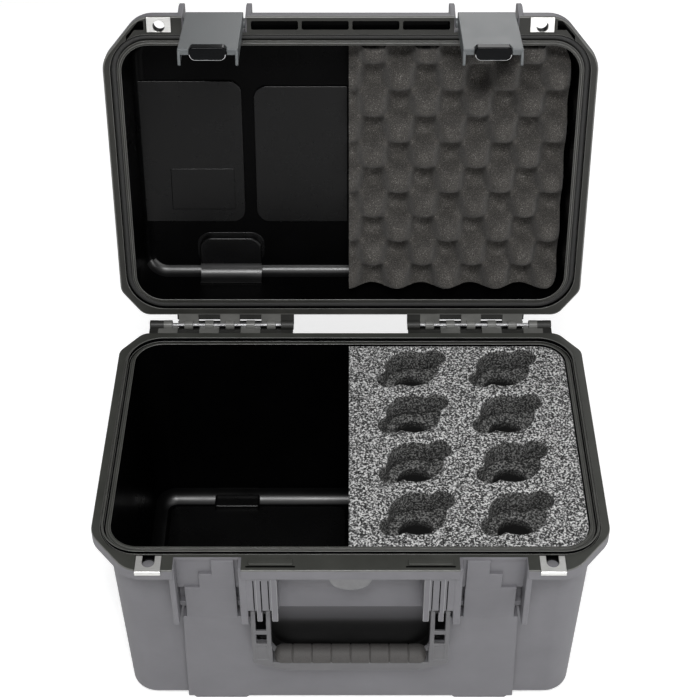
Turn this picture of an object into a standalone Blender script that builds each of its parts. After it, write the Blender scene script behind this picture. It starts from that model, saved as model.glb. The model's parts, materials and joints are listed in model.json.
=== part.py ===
"""Moulded microphone case: a deep base and a shallow lid joined at the back, with foam inserts,
two over-centre latches with sprung triggers, a drop handle and padlock plates.

The case is modelled closed, in metres, +Z up, its front towards -Y, standing on its feet at Z = 0
with X = 0 on its middle plane and Y = 0 midway between the front and back edges of its rim.
Empties on the joint axes then open the lid to its stop, as the case is shown.
"""
import math

import bmesh
import bpy
from mathutils import Matrix, Vector

# Rim: the flange that both halves share, and the opening inside it
FLANGE_LENGTH = 0.454
FLANGE_DEPTH = 0.307
FLANGE_SKIRT_HEIGHT = 0.012
FLANGE_SKIRT_THICKNESS = 0.003
FLANGE_LAND_THICKNESS = 0.004
FLANGE_EDGE_RADIUS = 0.0015
FRONT_CORNER_CUT_X = 0.035
FRONT_CORNER_CUT_Y = 0.042
BACK_CORNER_CUT_X = 0.021
BACK_CORNER_CUT_Y = 0.027
FRONT_CORNER_RADIUS = 0.028
BACK_CORNER_RADIUS = 0.014
OPENING_END_MARGIN = 0.017
OPENING_FRONT_MARGIN = 0.0274
OPENING_BACK_MARGIN = 0.0175
OPENING_RADIUS = 0.026
WALL = 0.0038

# Base shell
BASE_HEIGHT = 0.216
BASE_END_DRAFT = 0.005
BASE_FRONT_DRAFT = 0.008
BASE_BOTTOM_RADIUS = 0.0045
BASE_FLOOR_RADIUS = 0.014
FOOT_HEIGHT = 0.0035
FOOT_END_MARGIN = 0.0553
FOOT_LENGTH = 0.0532
FOOT_DEPTH = 0.017
FOOT_RADIUS = 0.004
FLOOR_FIELD_RISE = 0.0012
FLOOR_FIELD_RADIUS = 0.009
FLOOR_FIELD_FOAM_GAP = 0.004

# Lid shell
LID_HEIGHT = 0.053
LID_END_DRAFT = 0.004
LID_FRONT_DRAFT = 0.005
LID_TOP_RADIUS = 0.012
LID_CEILING_RADIUS = 0.010
LID_GAP = 0.0006
LID_OPEN_ANGLE = math.radians(101.65)

# Rim ridges and grooves, measured outwards from the edge of the opening
LIP_WIDTH = 0.002
RIM_STEP = 0.0012
GROOVE_START = 0.0042
GROOVE_DEPTH = 0.0022
TONGUE_START = 0.0065
TONGUE_WIDTH = 0.0014
TONGUE_HEIGHT = 0.0026
LAND_START = 0.0094
SEAL_WIDTH = 0.006
SEAL_DROP = 0.003
SEAL_THICKNESS = 0.0026

# Hinge, one on each side
HINGE_AXIS_SETBACK = 0.0111
HINGE_BARREL_RADIUS = 0.0048
HINGE_PIN_RADIUS = 0.002
HINGE_END_MARGIN = 0.0265
HINGE_FIRST_MARGIN = 0.0287
HINGE_PITCH = 0.0206
HINGE_KNUCKLE_GAP = 0.0009
HINGE_BARREL_WIDTH = 0.0086
HINGE_LAST_REACH = 0.0123
HINGE_WING_HEIGHT = 0.0075
HINGE_WING_STEP = 0.0006
HINGE_PIN_INSET = 0.0015

# Latches and the bays they lie in
LATCH_MARGIN = 0.1041
LATCH_SIDE_CLEARANCE = 0.0022
LATCH_LENGTH = 0.076
LATCH_PLATE = 0.003
LATCH_END_THICKNESS = 0.0058
LATCH_END_HEIGHT = 0.003
LATCH_CHEEK = 0.0024
LATCH_DEPTH = 0.0128
LATCH_PROUD = 0.001
LATCH_PIVOT_INSET = 0.0085
LATCH_PIVOT_RISE = 0.007
LATCH_BARREL_RADIUS = 0.0045
LATCH_PIN_RADIUS = 0.0016
LATCH_LEAN = math.radians(3.1)
LATCH_HOOK_DROP = 0.0736
LATCH_HOOK_HEIGHT = 0.004
LATCH_HOOK_NOSE = 0.0029
BAY_WIDTH = 0.0564
BAY_RIB = 0.0049
BAY_CUT_MARGIN = 0.015
BAY_RIB_MARGIN = 0.0022
BAY_RIB_DROP = 0.076
KEEPER_UNDERSIDE = 0.0715
KEEPER_HEIGHT = 0.006
KEEPER_MARGIN = 0.0203
BAY_SLOT_WIDTH = 0.0056
BAY_PAD_DROP = 0.034
BAY_BACK_STEP = 0.0022
BAY_RELIEF = 0.0009
BAY_TRIGGER_DEPTH = 0.0085
BAY_TRIGGER_CLEARANCE = 0.0016
BAY_TRIGGER_HEADROOM = 0.0085
BAY_STEP_WIDTH = 0.0195
BAY_STEP_DROP = 0.015
BAY_TAB_WIDTH = 0.007
BAY_TAB_DROP = 0.0035
EAR_HEIGHT = 0.028
EAR_PROUD = 0.0045

# Trigger in the end of each latch
TRIGGER_SIDE_MARGIN = 0.0101
TRIGGER_PROUD = 0.0025
TRIGGER_DEPTH = 0.017
TRIGGER_TOP_DROP = 0.0702
TRIGGER_END_DROP = 0.078
TRIGGER_CORNER = 0.003
TRIGGER_LEVER_WIDTH = 0.022
TRIGGER_LEVER_THICKNESS = 0.003
TRIGGER_LEVER_RISE = 0.012
TRIGGER_PIVOT_DROP = 0.050
TRIGGER_PIVOT_INSET = 0.007
TRIGGER_PIN_RADIUS = 0.0012
TRIGGER_BOSS_RADIUS = 0.0028
SPRING_WIRE_RADIUS = 0.0004
SPRING_COIL_RADIUS = 0.0022
SPRING_PITCH = 0.0011
SPRING_LEG = 0.009
SPRING_TURNS = 3

# Front panel, handle bracket and handle
PANEL_END_MARGIN = 0.0727
PANEL_END_TAPER = 0.0051
PANEL_TOP_DROP = 0.080
PANEL_TOP_MARGIN = 0.0145
PANEL_FOOT_MARGIN = 0.0277
RECESS_REACH = 0.0084
RECESS_BOTTOM_DROP = 0.139
RECESS_RADIUS = 0.024
BRACKET_LENGTH = 0.0262
BRACKET_WEB_DROP = 0.057
BRACKET_WEB_THICKNESS = 0.004
BRACKET_TOP_DROP = 0.007
LUG_DROP = 0.074
LUG_INNER_WIDTH = 0.0054
LUG_MIDDLE_SPACING = 0.0138
LUG_MIDDLE_WIDTH = 0.0046
HANDLE_PIVOT_DROP = 0.066
HANDLE_PIVOT_MARGIN = 0.0095
HANDLE_PIN_RADIUS = 0.0022
HANDLE_PIN_INSET = 0.0006
HANDLE_OUTER_SPACING = 0.0204
HANDLE_INNER_SPACING = 0.0068
HANDLE_PRONG_WIDTH = 0.0043
HANDLE_PRONG_DEPTH = 0.0085
HANDLE_EYE_RADIUS = 0.0058
HANDLE_EYE_SHOULDER = 0.014
HANDLE_FRONT_MARGIN = 0.0005
HANDLE_BAR_DEPTH = 0.0142
HANDLE_BOTTOM_DROP = 0.140
HANDLE_BAND = 0.011
HANDLE_CORNER_X = 0.028
HANDLE_CORNER_Z = 0.012
HANDLE_FIRST_RUNG = 0.082
HANDLE_FIRST_RUNG_HEIGHT = 0.0065
HANDLE_SECOND_RUNG = 0.102
HANDLE_SECOND_RUNG_HEIGHT = 0.0036
HANDLE_TONGUE_WIDTH = 0.004
HANDLE_TONGUE_HEIGHT = 0.006
GRIP_END_MARGIN = 0.0044
GRIP_RADIUS = 0.0093
GRIP_CENTRE_DROP = 0.1275
GRIP_END_RADIUS = 0.0015
GRIP_GROOVES = 7
GRIP_PLAIN_LENGTH = 0.0095
GRIP_GROOVE_WIDTH = 0.0018
GRIP_GROOVE_DEPTH = 0.0009

# Padlock plates
LOCK_MARGIN = 0.0538
LOCK_WIDTH = 0.022
LOCK_SHEET = 0.0015
LOCK_HOLE_RADIUS = 0.0054
LOCK_HOLE_MARGIN = 0.0095
LOCK_BASE_BACK_MARGIN = 0.017
LOCK_LID_FRONT_MARGIN = 0.001
LOCK_LID_BACK_MARGIN = 0.015
LOCK_LIP = 0.0042

# Bars on the base flange, and the lid pockets that take them
POCKET_SPACING = 0.0032
POCKET_MARGIN = 0.0043
POCKET_WIDTH = 0.0082
POCKET_DEPTH = 0.009
BAR_END_CLEARANCE = 0.002
BAR_WIDTH = 0.006
BAR_HEIGHT = 0.0022
CORNER_POCKET_MARGIN = 0.0402
CORNER_POCKET_LENGTH = 0.0165
CORNER_POCKET_WIDTH = 0.0085
CORNER_POCKET_REACH = 0.0185

# Badge under the flange, left blank
BADGE_HALF_LENGTH = 0.018
BADGE_HEIGHT = 0.014
BADGE_THICKNESS = 0.0016
BADGE_MARGIN = 0.0005
BADGE_BACKING = 0.003
BADGE_BACKING_INSET = 0.0028

# Raised areas inside the lid
LID_PAD_RISE = 0.0022
LID_PAD_FRONT_MARGIN = 0.079
LID_PAD_BACK_MARGIN = 0.080
LID_PAD_END_MARGIN = 0.011
LID_PAD_INNER_END = 0.104
LID_PAD_CENTRE_END = 0.0928
LID_PAD_FOAM_GAP = 0.006
LID_PAD_RADIUS = 0.009
LID_BUMP_INNER_END = 0.0925
LID_BUMP_LENGTH = 0.0603
LID_BUMP_REACH = 0.065
LID_BUMP_RISE = 0.008
LID_BUMP_RADIUS = 0.008

# Foam inserts
FOAM_CLEARANCE = 0.0015
FOAM_INNER_END = -0.0015
FOAM_TOP_DROP = 0.002
FOAM_TOP_LAYER = 0.026
POCKET_RADIUS = 0.0255
FINGER_RADIUS = 0.0118
FINGER_OFFSET_X = 0.022
FINGER_OFFSET_Y = 0.0155
MIC_HOLE_RADIUS = 0.016
MIC_HOLE_DROP = 0.115
MIC_END_MARGIN = 0.0607
MIC_COLUMN_PITCH = 0.0885
MIC_FRONT_MARGIN = 0.0406
MIC_BACK_MARGIN = 0.032
MIC_ROW_PITCH = 0.063
SEAT_CUT_DEPTH = 0.0006
CRATE_PITCH_X = 0.049
CRATE_PITCH_Y = 0.052
CRATE_PEAK_X = 0.046
CRATE_PEAK_V = 0.2065
CRATE_END_MARGIN = 0.006
CRATE_FRONT_MARGIN = 0.0335
CRATE_BACK_MARGIN = 0.0235
CRATE_BACKING = 0.015
CRATE_PEAK_DROP = 0.0045
CRATE_CORNER = 0.0195

# Fits
TOUCH_GAP = 0.0003
SHARE_DEPTH = 0.001
OVERRUN = 0.002
ARC_STEPS = 4
ROUND_STEPS = 24
SMALL_ROUND_STEPS = 14
POCKET_STEPS = 28
CRATE_STEPS_X = 32
CRATE_STEPS_Y = 40

FLANGE_HALF = FLANGE_LENGTH / 2
FRONT = -FLANGE_DEPTH / 2
BACK = FLANGE_DEPTH / 2
RIM = FOOT_HEIGHT + BASE_HEIGHT
LID_RIM = RIM + LID_GAP
HINGE_Y = BACK + HINGE_AXIS_SETBACK
HINGE_Z = RIM + LID_GAP / 2
OPENING_FRONT = FRONT + OPENING_FRONT_MARGIN
OPENING_BACK = BACK - OPENING_BACK_MARGIN
OPENING_CENTRE = (OPENING_FRONT + OPENING_BACK) / 2
OPENING_HALF = FLANGE_HALF - OPENING_END_MARGIN

# Places along the case that follow its flange, and the handle's that follow its brackets
HINGE_OUTER_END = FLANGE_HALF - HINGE_END_MARGIN
HINGE_FIRST_KNUCKLE = HINGE_OUTER_END - HINGE_FIRST_MARGIN
HINGE_INNER_END = HINGE_FIRST_KNUCKLE - 5 * HINGE_PITCH - HINGE_LAST_REACH
LATCH_CENTRE = FLANGE_HALF - LATCH_MARGIN
LATCH_WIDTH = BAY_WIDTH - 2 * LATCH_SIDE_CLEARANCE
TRIGGER_WIDTH = LATCH_WIDTH - 2 * TRIGGER_SIDE_MARGIN
BAY_PAD_WIDTH = BAY_WIDTH - 2 * BAY_SLOT_WIDTH
LOCK_CENTRE = FLANGE_HALF - LOCK_MARGIN
FOOT_INNER_END = OPENING_HALF - BASE_END_DRAFT - FOOT_END_MARGIN - FOOT_LENGTH
PANEL_HALF_LENGTH = FLANGE_HALF - PANEL_END_MARGIN
BRACKET_OUTER_END = LATCH_CENTRE - BAY_WIDTH / 2 - BAY_RIB
BRACKET_INNER_END = BRACKET_OUTER_END - BRACKET_LENGTH
RECESS_HALF_LENGTH = BRACKET_INNER_END + RECESS_REACH
LUG_MIDDLE_START = BRACKET_INNER_END + LUG_MIDDLE_SPACING
HANDLE_OUTER_PRONG = BRACKET_INNER_END + HANDLE_OUTER_SPACING
HANDLE_INNER_PRONG = BRACKET_INNER_END + HANDLE_INNER_SPACING
HANDLE_HALF_LENGTH = HANDLE_OUTER_PRONG + HANDLE_PRONG_WIDTH
GRIP_HALF_LENGTH = HANDLE_INNER_PRONG - GRIP_END_MARGIN
GRIP_GROOVE_PITCH = (2 * GRIP_HALF_LENGTH - GRIP_PLAIN_LENGTH) / GRIP_GROOVES
POCKET_PITCH = (BRACKET_OUTER_END + POCKET_SPACING / 2) / 2
POCKET_LENGTH = POCKET_PITCH - POCKET_SPACING
BAR_LENGTH = POCKET_LENGTH - 2 * BAR_END_CLEARANCE
CORNER_POCKET_START = FLANGE_HALF - CORNER_POCKET_MARGIN
LID_PAD_OUTER_END = OPENING_HALF - LID_PAD_END_MARGIN


def material(name, colour, roughness, metallic=0.0):
    """A plain Principled finish for one kind of piece."""
    finish = bpy.data.materials.new(name)
    finish.use_nodes = True
    shader = finish.node_tree.nodes["Principled BSDF"]
    shader.inputs["Base Color"].default_value = (*colour, 1.0)
    shader.inputs["Roughness"].default_value = roughness
    shader.inputs["Metallic"].default_value = metallic
    finish.diffuse_color = (*colour, 1.0)
    return finish


def fillet(corner, way_in, way_out, radius, steps):
    """Points of the arc that rounds a corner of an outline that turns left."""
    turn = math.atan2(way_in[0] * way_out[1] - way_in[1] * way_out[0],
                      way_in[0] * way_out[0] + way_in[1] * way_out[1])
    tangent = radius * math.tan(turn / 2)
    centre = (corner[0] - way_in[0] * tangent - way_in[1] * radius,
              corner[1] - way_in[1] * tangent + way_in[0] * radius)
    points = []
    for step in range(steps + 1):
        angle = turn * step / steps
        arm = (way_in[1] * radius, -way_in[0] * radius)
        points.append((centre[0] + arm[0] * math.cos(angle) - arm[1] * math.sin(angle),
                       centre[1] + arm[0] * math.sin(angle) + arm[1] * math.cos(angle)))
    return points


def round_outline(half, front, back, radius):
    """A rounded rectangle, anticlockwise, with as many points as a flange outline."""
    steps = 2 * ARC_STEPS + 1
    return (fillet((half, front), (1, 0), (0, 1), radius, steps)
            + fillet((half, back), (0, 1), (-1, 0), radius, steps)
            + fillet((-half, back), (-1, 0), (0, -1), radius, steps)
            + fillet((-half, front), (0, -1), (1, 0), radius, steps))


def cut_corner(corner, way_in, way_out, cut_in, cut_out, radius):
    """A corner cut off by a slanting edge whose two ends are rounded."""
    first = (corner[0] - way_in[0] * cut_in, corner[1] - way_in[1] * cut_in)
    second = (corner[0] + way_out[0] * cut_out, corner[1] + way_out[1] * cut_out)
    span = math.hypot(second[0] - first[0], second[1] - first[1])
    slant = ((second[0] - first[0]) / span, (second[1] - first[1]) / span)
    return (fillet(first, way_in, slant, radius, ARC_STEPS)
            + fillet(second, slant, way_out, radius, ARC_STEPS))


def inset_cut(cut_x, cut_y, inset):
    """The corner cut that is left when every edge moves in by the same distance."""
    slant = math.hypot(cut_x, cut_y)
    share = 1 - inset * (cut_x + cut_y - slant) / (cut_x * cut_y)
    return cut_x * share, cut_y * share


def flange_outline(inset):
    """The flange's own outline, with its cut corners, moved in by a distance."""
    half, front, back = FLANGE_HALF - inset, FRONT + inset, BACK - inset
    front_x, front_y = inset_cut(FRONT_CORNER_CUT_X, FRONT_CORNER_CUT_Y, inset)
    back_x, back_y = inset_cut(BACK_CORNER_CUT_X, BACK_CORNER_CUT_Y, inset)
    front_radius = FRONT_CORNER_RADIUS - inset
    back_radius = BACK_CORNER_RADIUS - inset
    return (cut_corner((half, front), (1, 0), (0, 1), front_x, front_y, front_radius)
            + cut_corner((half, back), (0, 1), (-1, 0), back_y, back_x, back_radius)
            + cut_corner((-half, back), (-1, 0), (0, -1), back_x, back_y, back_radius)
            + cut_corner((-half, front), (0, -1), (1, 0), front_y, front_x, front_radius))


def opening_outline(offset, end_draft=0.0, front_draft=0.0):
    """The outline of the opening moved out by a distance and in by the walls' draft."""
    return round_outline(OPENING_HALF + offset - end_draft,
                         OPENING_FRONT - offset + front_draft,
                         OPENING_BACK + offset - front_draft,
                         OPENING_RADIUS + offset - end_draft)


def at_height(outline, z):
    return [(x, y, z) for x, y in outline]


def new_object(name, mesh_data):
    thing = bpy.data.objects.new(name, mesh_data)
    bpy.context.scene.collection.objects.link(thing)
    return thing


def loft(name, loops):
    """A closed solid through rings of equal count, with its first and last ring filled."""
    form = bmesh.new()
    rings = [[form.verts.new(point) for point in loop] for loop in loops]
    for lower, upper in zip(rings, rings[1:]):
        for here in range(len(lower)):
            after = (here + 1) % len(lower)
            form.faces.new((lower[here], lower[after], upper[after], upper[here]))
    form.faces.new(list(reversed(rings[0])))
    form.faces.new(rings[-1])
    bmesh.ops.recalc_face_normals(form, faces=form.faces)
    data = bpy.data.meshes.new(name)
    form.to_mesh(data)
    form.free()
    return new_object(name, data)


def prism(name, outline, low, high, plane="XY"):
    """An outline drawn in one plane and carried between two places on the third axis."""
    places = {"XY": lambda a, b, c: (a, b, c),
              "XZ": lambda a, b, c: (a, c, b),
              "YZ": lambda a, b, c: (c, a, b)}
    place = places[plane]
    return loft(name, [[place(a, b, low) for a, b in outline],
                       [place(a, b, high) for a, b in outline]])


def box(name, low, high):
    outline = [(low[0], low[1]), (high[0], low[1]), (high[0], high[1]), (low[0], high[1])]
    return prism(name, outline, low[2], high[2])


def circle(centre, radius, steps=SMALL_ROUND_STEPS):
    return [(centre[0] + radius * math.cos(2 * math.pi * step / steps),
             centre[1] + radius * math.sin(2 * math.pi * step / steps)) for step in range(steps)]


def rod(name, low, high, y, z, radius, steps=SMALL_ROUND_STEPS):
    """A round bar along X."""
    return prism(name, circle((y, z), radius, steps), low, high, "YZ")


def rounded(left, right, low, high, radius, steps=ARC_STEPS):
    """A rounded rectangle for a prism's outline."""
    return (fillet((right, low), (1, 0), (0, 1), radius, steps)
            + fillet((right, high), (0, 1), (-1, 0), radius, steps)
            + fillet((left, high), (-1, 0), (0, -1), radius, steps)
            + fillet((left, low), (0, -1), (1, 0), radius, steps))


def combine(body, tools, operation):
    """Join tools to a body or cut them from it, one after another, and drop the tools."""
    for tool in tools:
        step = body.modifiers.new(operation.lower(), "BOOLEAN")
        step.operation = operation
        step.object = tool
        step.solver = "EXACT"
        bpy.context.view_layer.update()
        graph = bpy.context.evaluated_depsgraph_get()
        result = bpy.data.meshes.new_from_object(body.evaluated_get(graph))
        body.modifiers.clear()
        body.data = result
        bpy.data.objects.remove(tool)
    return body


def join(body, tools):
    return combine(body, tools, "UNION")


def cut(body, tools):
    return combine(body, tools, "DIFFERENCE")


def finish(body, look, pivot=None, smooth=None):
    """Give a piece its material and hang it from its joint's empty."""
    body.data.materials.clear()
    body.data.materials.append(look)
    if smooth is not None:
        body.data.shade_smooth()
        body.data.set_sharp_from_angle(angle=smooth)
    if pivot is not None:
        body.data.transform(Matrix.Translation(-pivot["place"]))
        body.parent = pivot["empty"]
    return body


def pivot_empty(name, place, parent=None, turn=0.0):
    """An empty on a joint axis along X, turned from the closed place to the shown one."""
    empty = new_object(name, None)
    empty.location = place - (parent["place"] if parent else Vector())
    empty.rotation_euler = (turn, 0.0, 0.0)
    if parent:
        empty.parent = parent["empty"]
    return {"empty": empty, "place": place}


def both_sides(low, high, side):
    """A span of X on one side of the middle plane."""
    return (low, high) if side > 0 else (-high, -low)


def wall_front(z):
    """Y of the base's front wall, outside, at a height."""
    return OPENING_FRONT - WALL + BASE_FRONT_DRAFT * (RIM - z) / BASE_HEIGHT


def base_shell():
    """The lower half: bottom, drafted walls, flange channel, rim ridges and inner walls."""
    loops = []
    for step in range(ARC_STEPS + 1):
        angle = math.pi / 2 * step / ARC_STEPS
        inset = BASE_BOTTOM_RADIUS * (1 - math.sin(angle))
        rise = BASE_BOTTOM_RADIUS * (1 - math.cos(angle))
        outline = opening_outline(WALL - inset, BASE_END_DRAFT, BASE_FRONT_DRAFT)
        loops.append(at_height(outline, FOOT_HEIGHT + rise))
    loops.append(at_height(opening_outline(WALL), RIM - FLANGE_LAND_THICKNESS))
    loops += [at_height(flange_outline(inset), RIM - drop)
              for inset, drop in ((FLANGE_SKIRT_THICKNESS, FLANGE_LAND_THICKNESS),
                                  (FLANGE_SKIRT_THICKNESS, FLANGE_SKIRT_HEIGHT),
                                  (0, FLANGE_SKIRT_HEIGHT), (0, FLANGE_EDGE_RADIUS),
                                  (FLANGE_EDGE_RADIUS, 0))]
    tongue_end = TONGUE_START + TONGUE_WIDTH
    for offset, rise in ((LAND_START, 0), (LAND_START, -RIM_STEP), (tongue_end, -RIM_STEP),
                         (tongue_end, TONGUE_HEIGHT), (TONGUE_START, TONGUE_HEIGHT),
                         (TONGUE_START, -GROOVE_DEPTH), (GROOVE_START, -GROOVE_DEPTH),
                         (GROOVE_START, -RIM_STEP), (LIP_WIDTH, -RIM_STEP), (LIP_WIDTH, 0), (0, 0)):
        loops.append(at_height(opening_outline(offset), RIM + rise))
    for step in range(ARC_STEPS + 1):
        angle = math.pi / 2 * step / ARC_STEPS
        inset = BASE_FLOOR_RADIUS * (1 - math.cos(angle))
        rise = BASE_FLOOR_RADIUS * (1 - math.sin(angle))
        outline = opening_outline(-inset, BASE_END_DRAFT, BASE_FRONT_DRAFT)
        loops.append(at_height(outline, FOOT_HEIGHT + WALL + rise))
    return loft("base_shell", loops)


def lid_shell():
    """The upper half, drawn closed: rim facing down, top outside at its highest."""
    top = LID_RIM + LID_HEIGHT
    loops = []
    for step in range(ARC_STEPS + 1):
        angle = math.pi / 2 * step / ARC_STEPS
        inset = LID_TOP_RADIUS * (1 - math.sin(angle))
        drop = LID_TOP_RADIUS * (1 - math.cos(angle))
        outline = opening_outline(WALL - inset, LID_END_DRAFT, LID_FRONT_DRAFT)
        loops.append(at_height(outline, top - drop))
    loops.append(at_height(opening_outline(WALL), LID_RIM + FLANGE_SKIRT_HEIGHT))
    loops += [at_height(flange_outline(inset), LID_RIM + rise)
              for inset, rise in ((FLANGE_EDGE_RADIUS, FLANGE_SKIRT_HEIGHT),
                                  (0, FLANGE_SKIRT_HEIGHT - FLANGE_EDGE_RADIUS),
                                  (0, FLANGE_EDGE_RADIUS), (FLANGE_EDGE_RADIUS, 0))]
    seat = GROOVE_START + SEAL_WIDTH
    depth = SEAL_DROP + SEAL_THICKNESS + TOUCH_GAP
    for offset, rise in ((seat, 0), (seat, depth), (GROOVE_START, depth),
                         (GROOVE_START, RIM_STEP), (LIP_WIDTH, RIM_STEP), (LIP_WIDTH, 0), (0, 0)):
        loops.append(at_height(opening_outline(offset), LID_RIM + rise))
    for step in range(ARC_STEPS + 1):
        angle = math.pi / 2 * step / ARC_STEPS
        inset = LID_CEILING_RADIUS * (1 - math.cos(angle))
        drop = LID_CEILING_RADIUS * (1 - math.sin(angle))
        outline = opening_outline(-inset, LID_END_DRAFT, LID_FRONT_DRAFT)
        loops.append(at_height(outline, top - WALL - drop))
    return loft("lid_shell", loops)


def knuckle_spans(owner):
    """X spans of one hinge's knuckles, from the outer end inwards; base and lid take turns."""
    spans = []
    for index in range(6):
        high = HINGE_FIRST_KNUCKLE - (index - 1) * HINGE_PITCH
        low = high - HINGE_PITCH
        if index == 0:
            high = HINGE_OUTER_END
        if index == 5:
            low = HINGE_INNER_END
        if index % 2 == owner:
            spans.append((index, low + HINGE_KNUCKLE_GAP / 2, high - HINGE_KNUCKLE_GAP / 2))
    return spans


def knuckles(owner, side):
    """Wings that reach from the flange to the pin, each with a narrower barrel round it."""
    way = -1 if owner == 0 else 1
    pieces = []
    for index, low, high in knuckle_spans(owner):
        x_low, x_high = both_sides(low, high, side)
        root = BACK - FLANGE_SKIRT_THICKNESS / 2
        wing = [(root, HINGE_Z + way * HINGE_WING_STEP), (HINGE_Y, HINGE_Z + way * HINGE_WING_STEP),
                (HINGE_Y, HINGE_Z + way * HINGE_BARREL_RADIUS),
                (HINGE_Y - HINGE_BARREL_RADIUS, HINGE_Z + way * HINGE_WING_HEIGHT),
                (root, HINGE_Z + way * HINGE_WING_HEIGHT)]
        pieces.append(prism("wing", wing, x_low, x_high, "YZ"))
        middle = HINGE_FIRST_KNUCKLE - (index - 0.5) * HINGE_PITCH
        narrow = HINGE_BARREL_WIDTH / 2
        ends = (low + OVERRUN, high) if index == 0 else (middle - narrow, middle + narrow)
        pieces.append(rod("barrel", *both_sides(*ends, side), HINGE_Y, HINGE_Z,
                          HINGE_BARREL_RADIUS))
    return pieces


def panel_front(z):
    """Y of the raised front panel's face at a height."""
    fall = (RIM - PANEL_TOP_DROP - z) / (BASE_HEIGHT - PANEL_TOP_DROP)
    return FRONT + PANEL_TOP_MARGIN + (PANEL_FOOT_MARGIN - PANEL_TOP_MARGIN) * fall


def on_wall(name, outline, front):
    """A pad drawn in X and Z that grows out of the front wall to a face given by its height."""
    root = [(x, wall_front(z) + WALL / 2, z) for x, z in outline]
    face = [(x, front(z), z) for x, z in outline]
    return loft(name, [root, face])


def on_wall_box(name, low, high, bottom, top, margin):
    """A rectangular pad on the front wall, with its face at a margin behind the flange."""
    outline = [(low, bottom), (high, bottom), (high, top), (low, top)]
    return on_wall(name, outline, lambda z: FRONT + margin)


def front_panel():
    """The raised panel across the lower front, recessed in the middle behind the handle."""
    foot = FOOT_HEIGHT
    top = RIM - PANEL_TOP_DROP
    bend = foot + BASE_BOTTOM_RADIUS
    profile = [(wall_front(top) + WALL / 2, top), (panel_front(top), top),
               (panel_front(foot), foot), (wall_front(foot) + BASE_BOTTOM_RADIUS, foot),
               (wall_front(foot) + BASE_BOTTOM_RADIUS, foot + WALL / 2),
               (wall_front(bend) + WALL / 2, bend)]
    ends = []
    for side in (-1, 1):
        ends.append([(side * (PANEL_HALF_LENGTH - PANEL_END_TAPER * (z - foot) / (top - foot)), y, z)
                     for y, z in profile])
    panel = loft("panel", ends)
    hollow = rounded(-RECESS_HALF_LENGTH, RECESS_HALF_LENGTH, RIM - RECESS_BOTTOM_DROP,
                     top + RECESS_RADIUS + OVERRUN, RECESS_RADIUS)
    near = [(x, wall_front(z) - TOUCH_GAP, z) for x, z in hollow]
    far = [(x, FRONT, z) for x, z in hollow]
    return cut(panel, [loft("recess", [near, far])])


def rib_profile():
    bottom = RIM - BAY_RIB_DROP
    front = FRONT + BAY_RIB_MARGIN
    top = RIM - FLANGE_EDGE_RADIUS / 2
    step = FRONT + BAY_CUT_MARGIN + SHARE_DEPTH
    under = RIM - (GROOVE_DEPTH + FLANGE_LAND_THICKNESS) / 2
    return [(wall_front(bottom) + WALL / 2, bottom - BAY_RIB), (front + BAY_RIB, bottom - BAY_RIB / 2),
            (front, bottom), (front, top), (step, top), (step, under),
            (wall_front(under) + WALL / 2, under)]


def lug_profile():
    bottom = RIM - LUG_DROP
    front = FRONT + BAY_RIB_MARGIN
    top = RIM - BRACKET_TOP_DROP / 2
    return [(wall_front(bottom) + WALL / 2, bottom), (front + BAY_RIB / 2, bottom),
            (front, bottom + BAY_RIB / 2), (front, top), (wall_front(top) + WALL / 2, top)]


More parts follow.
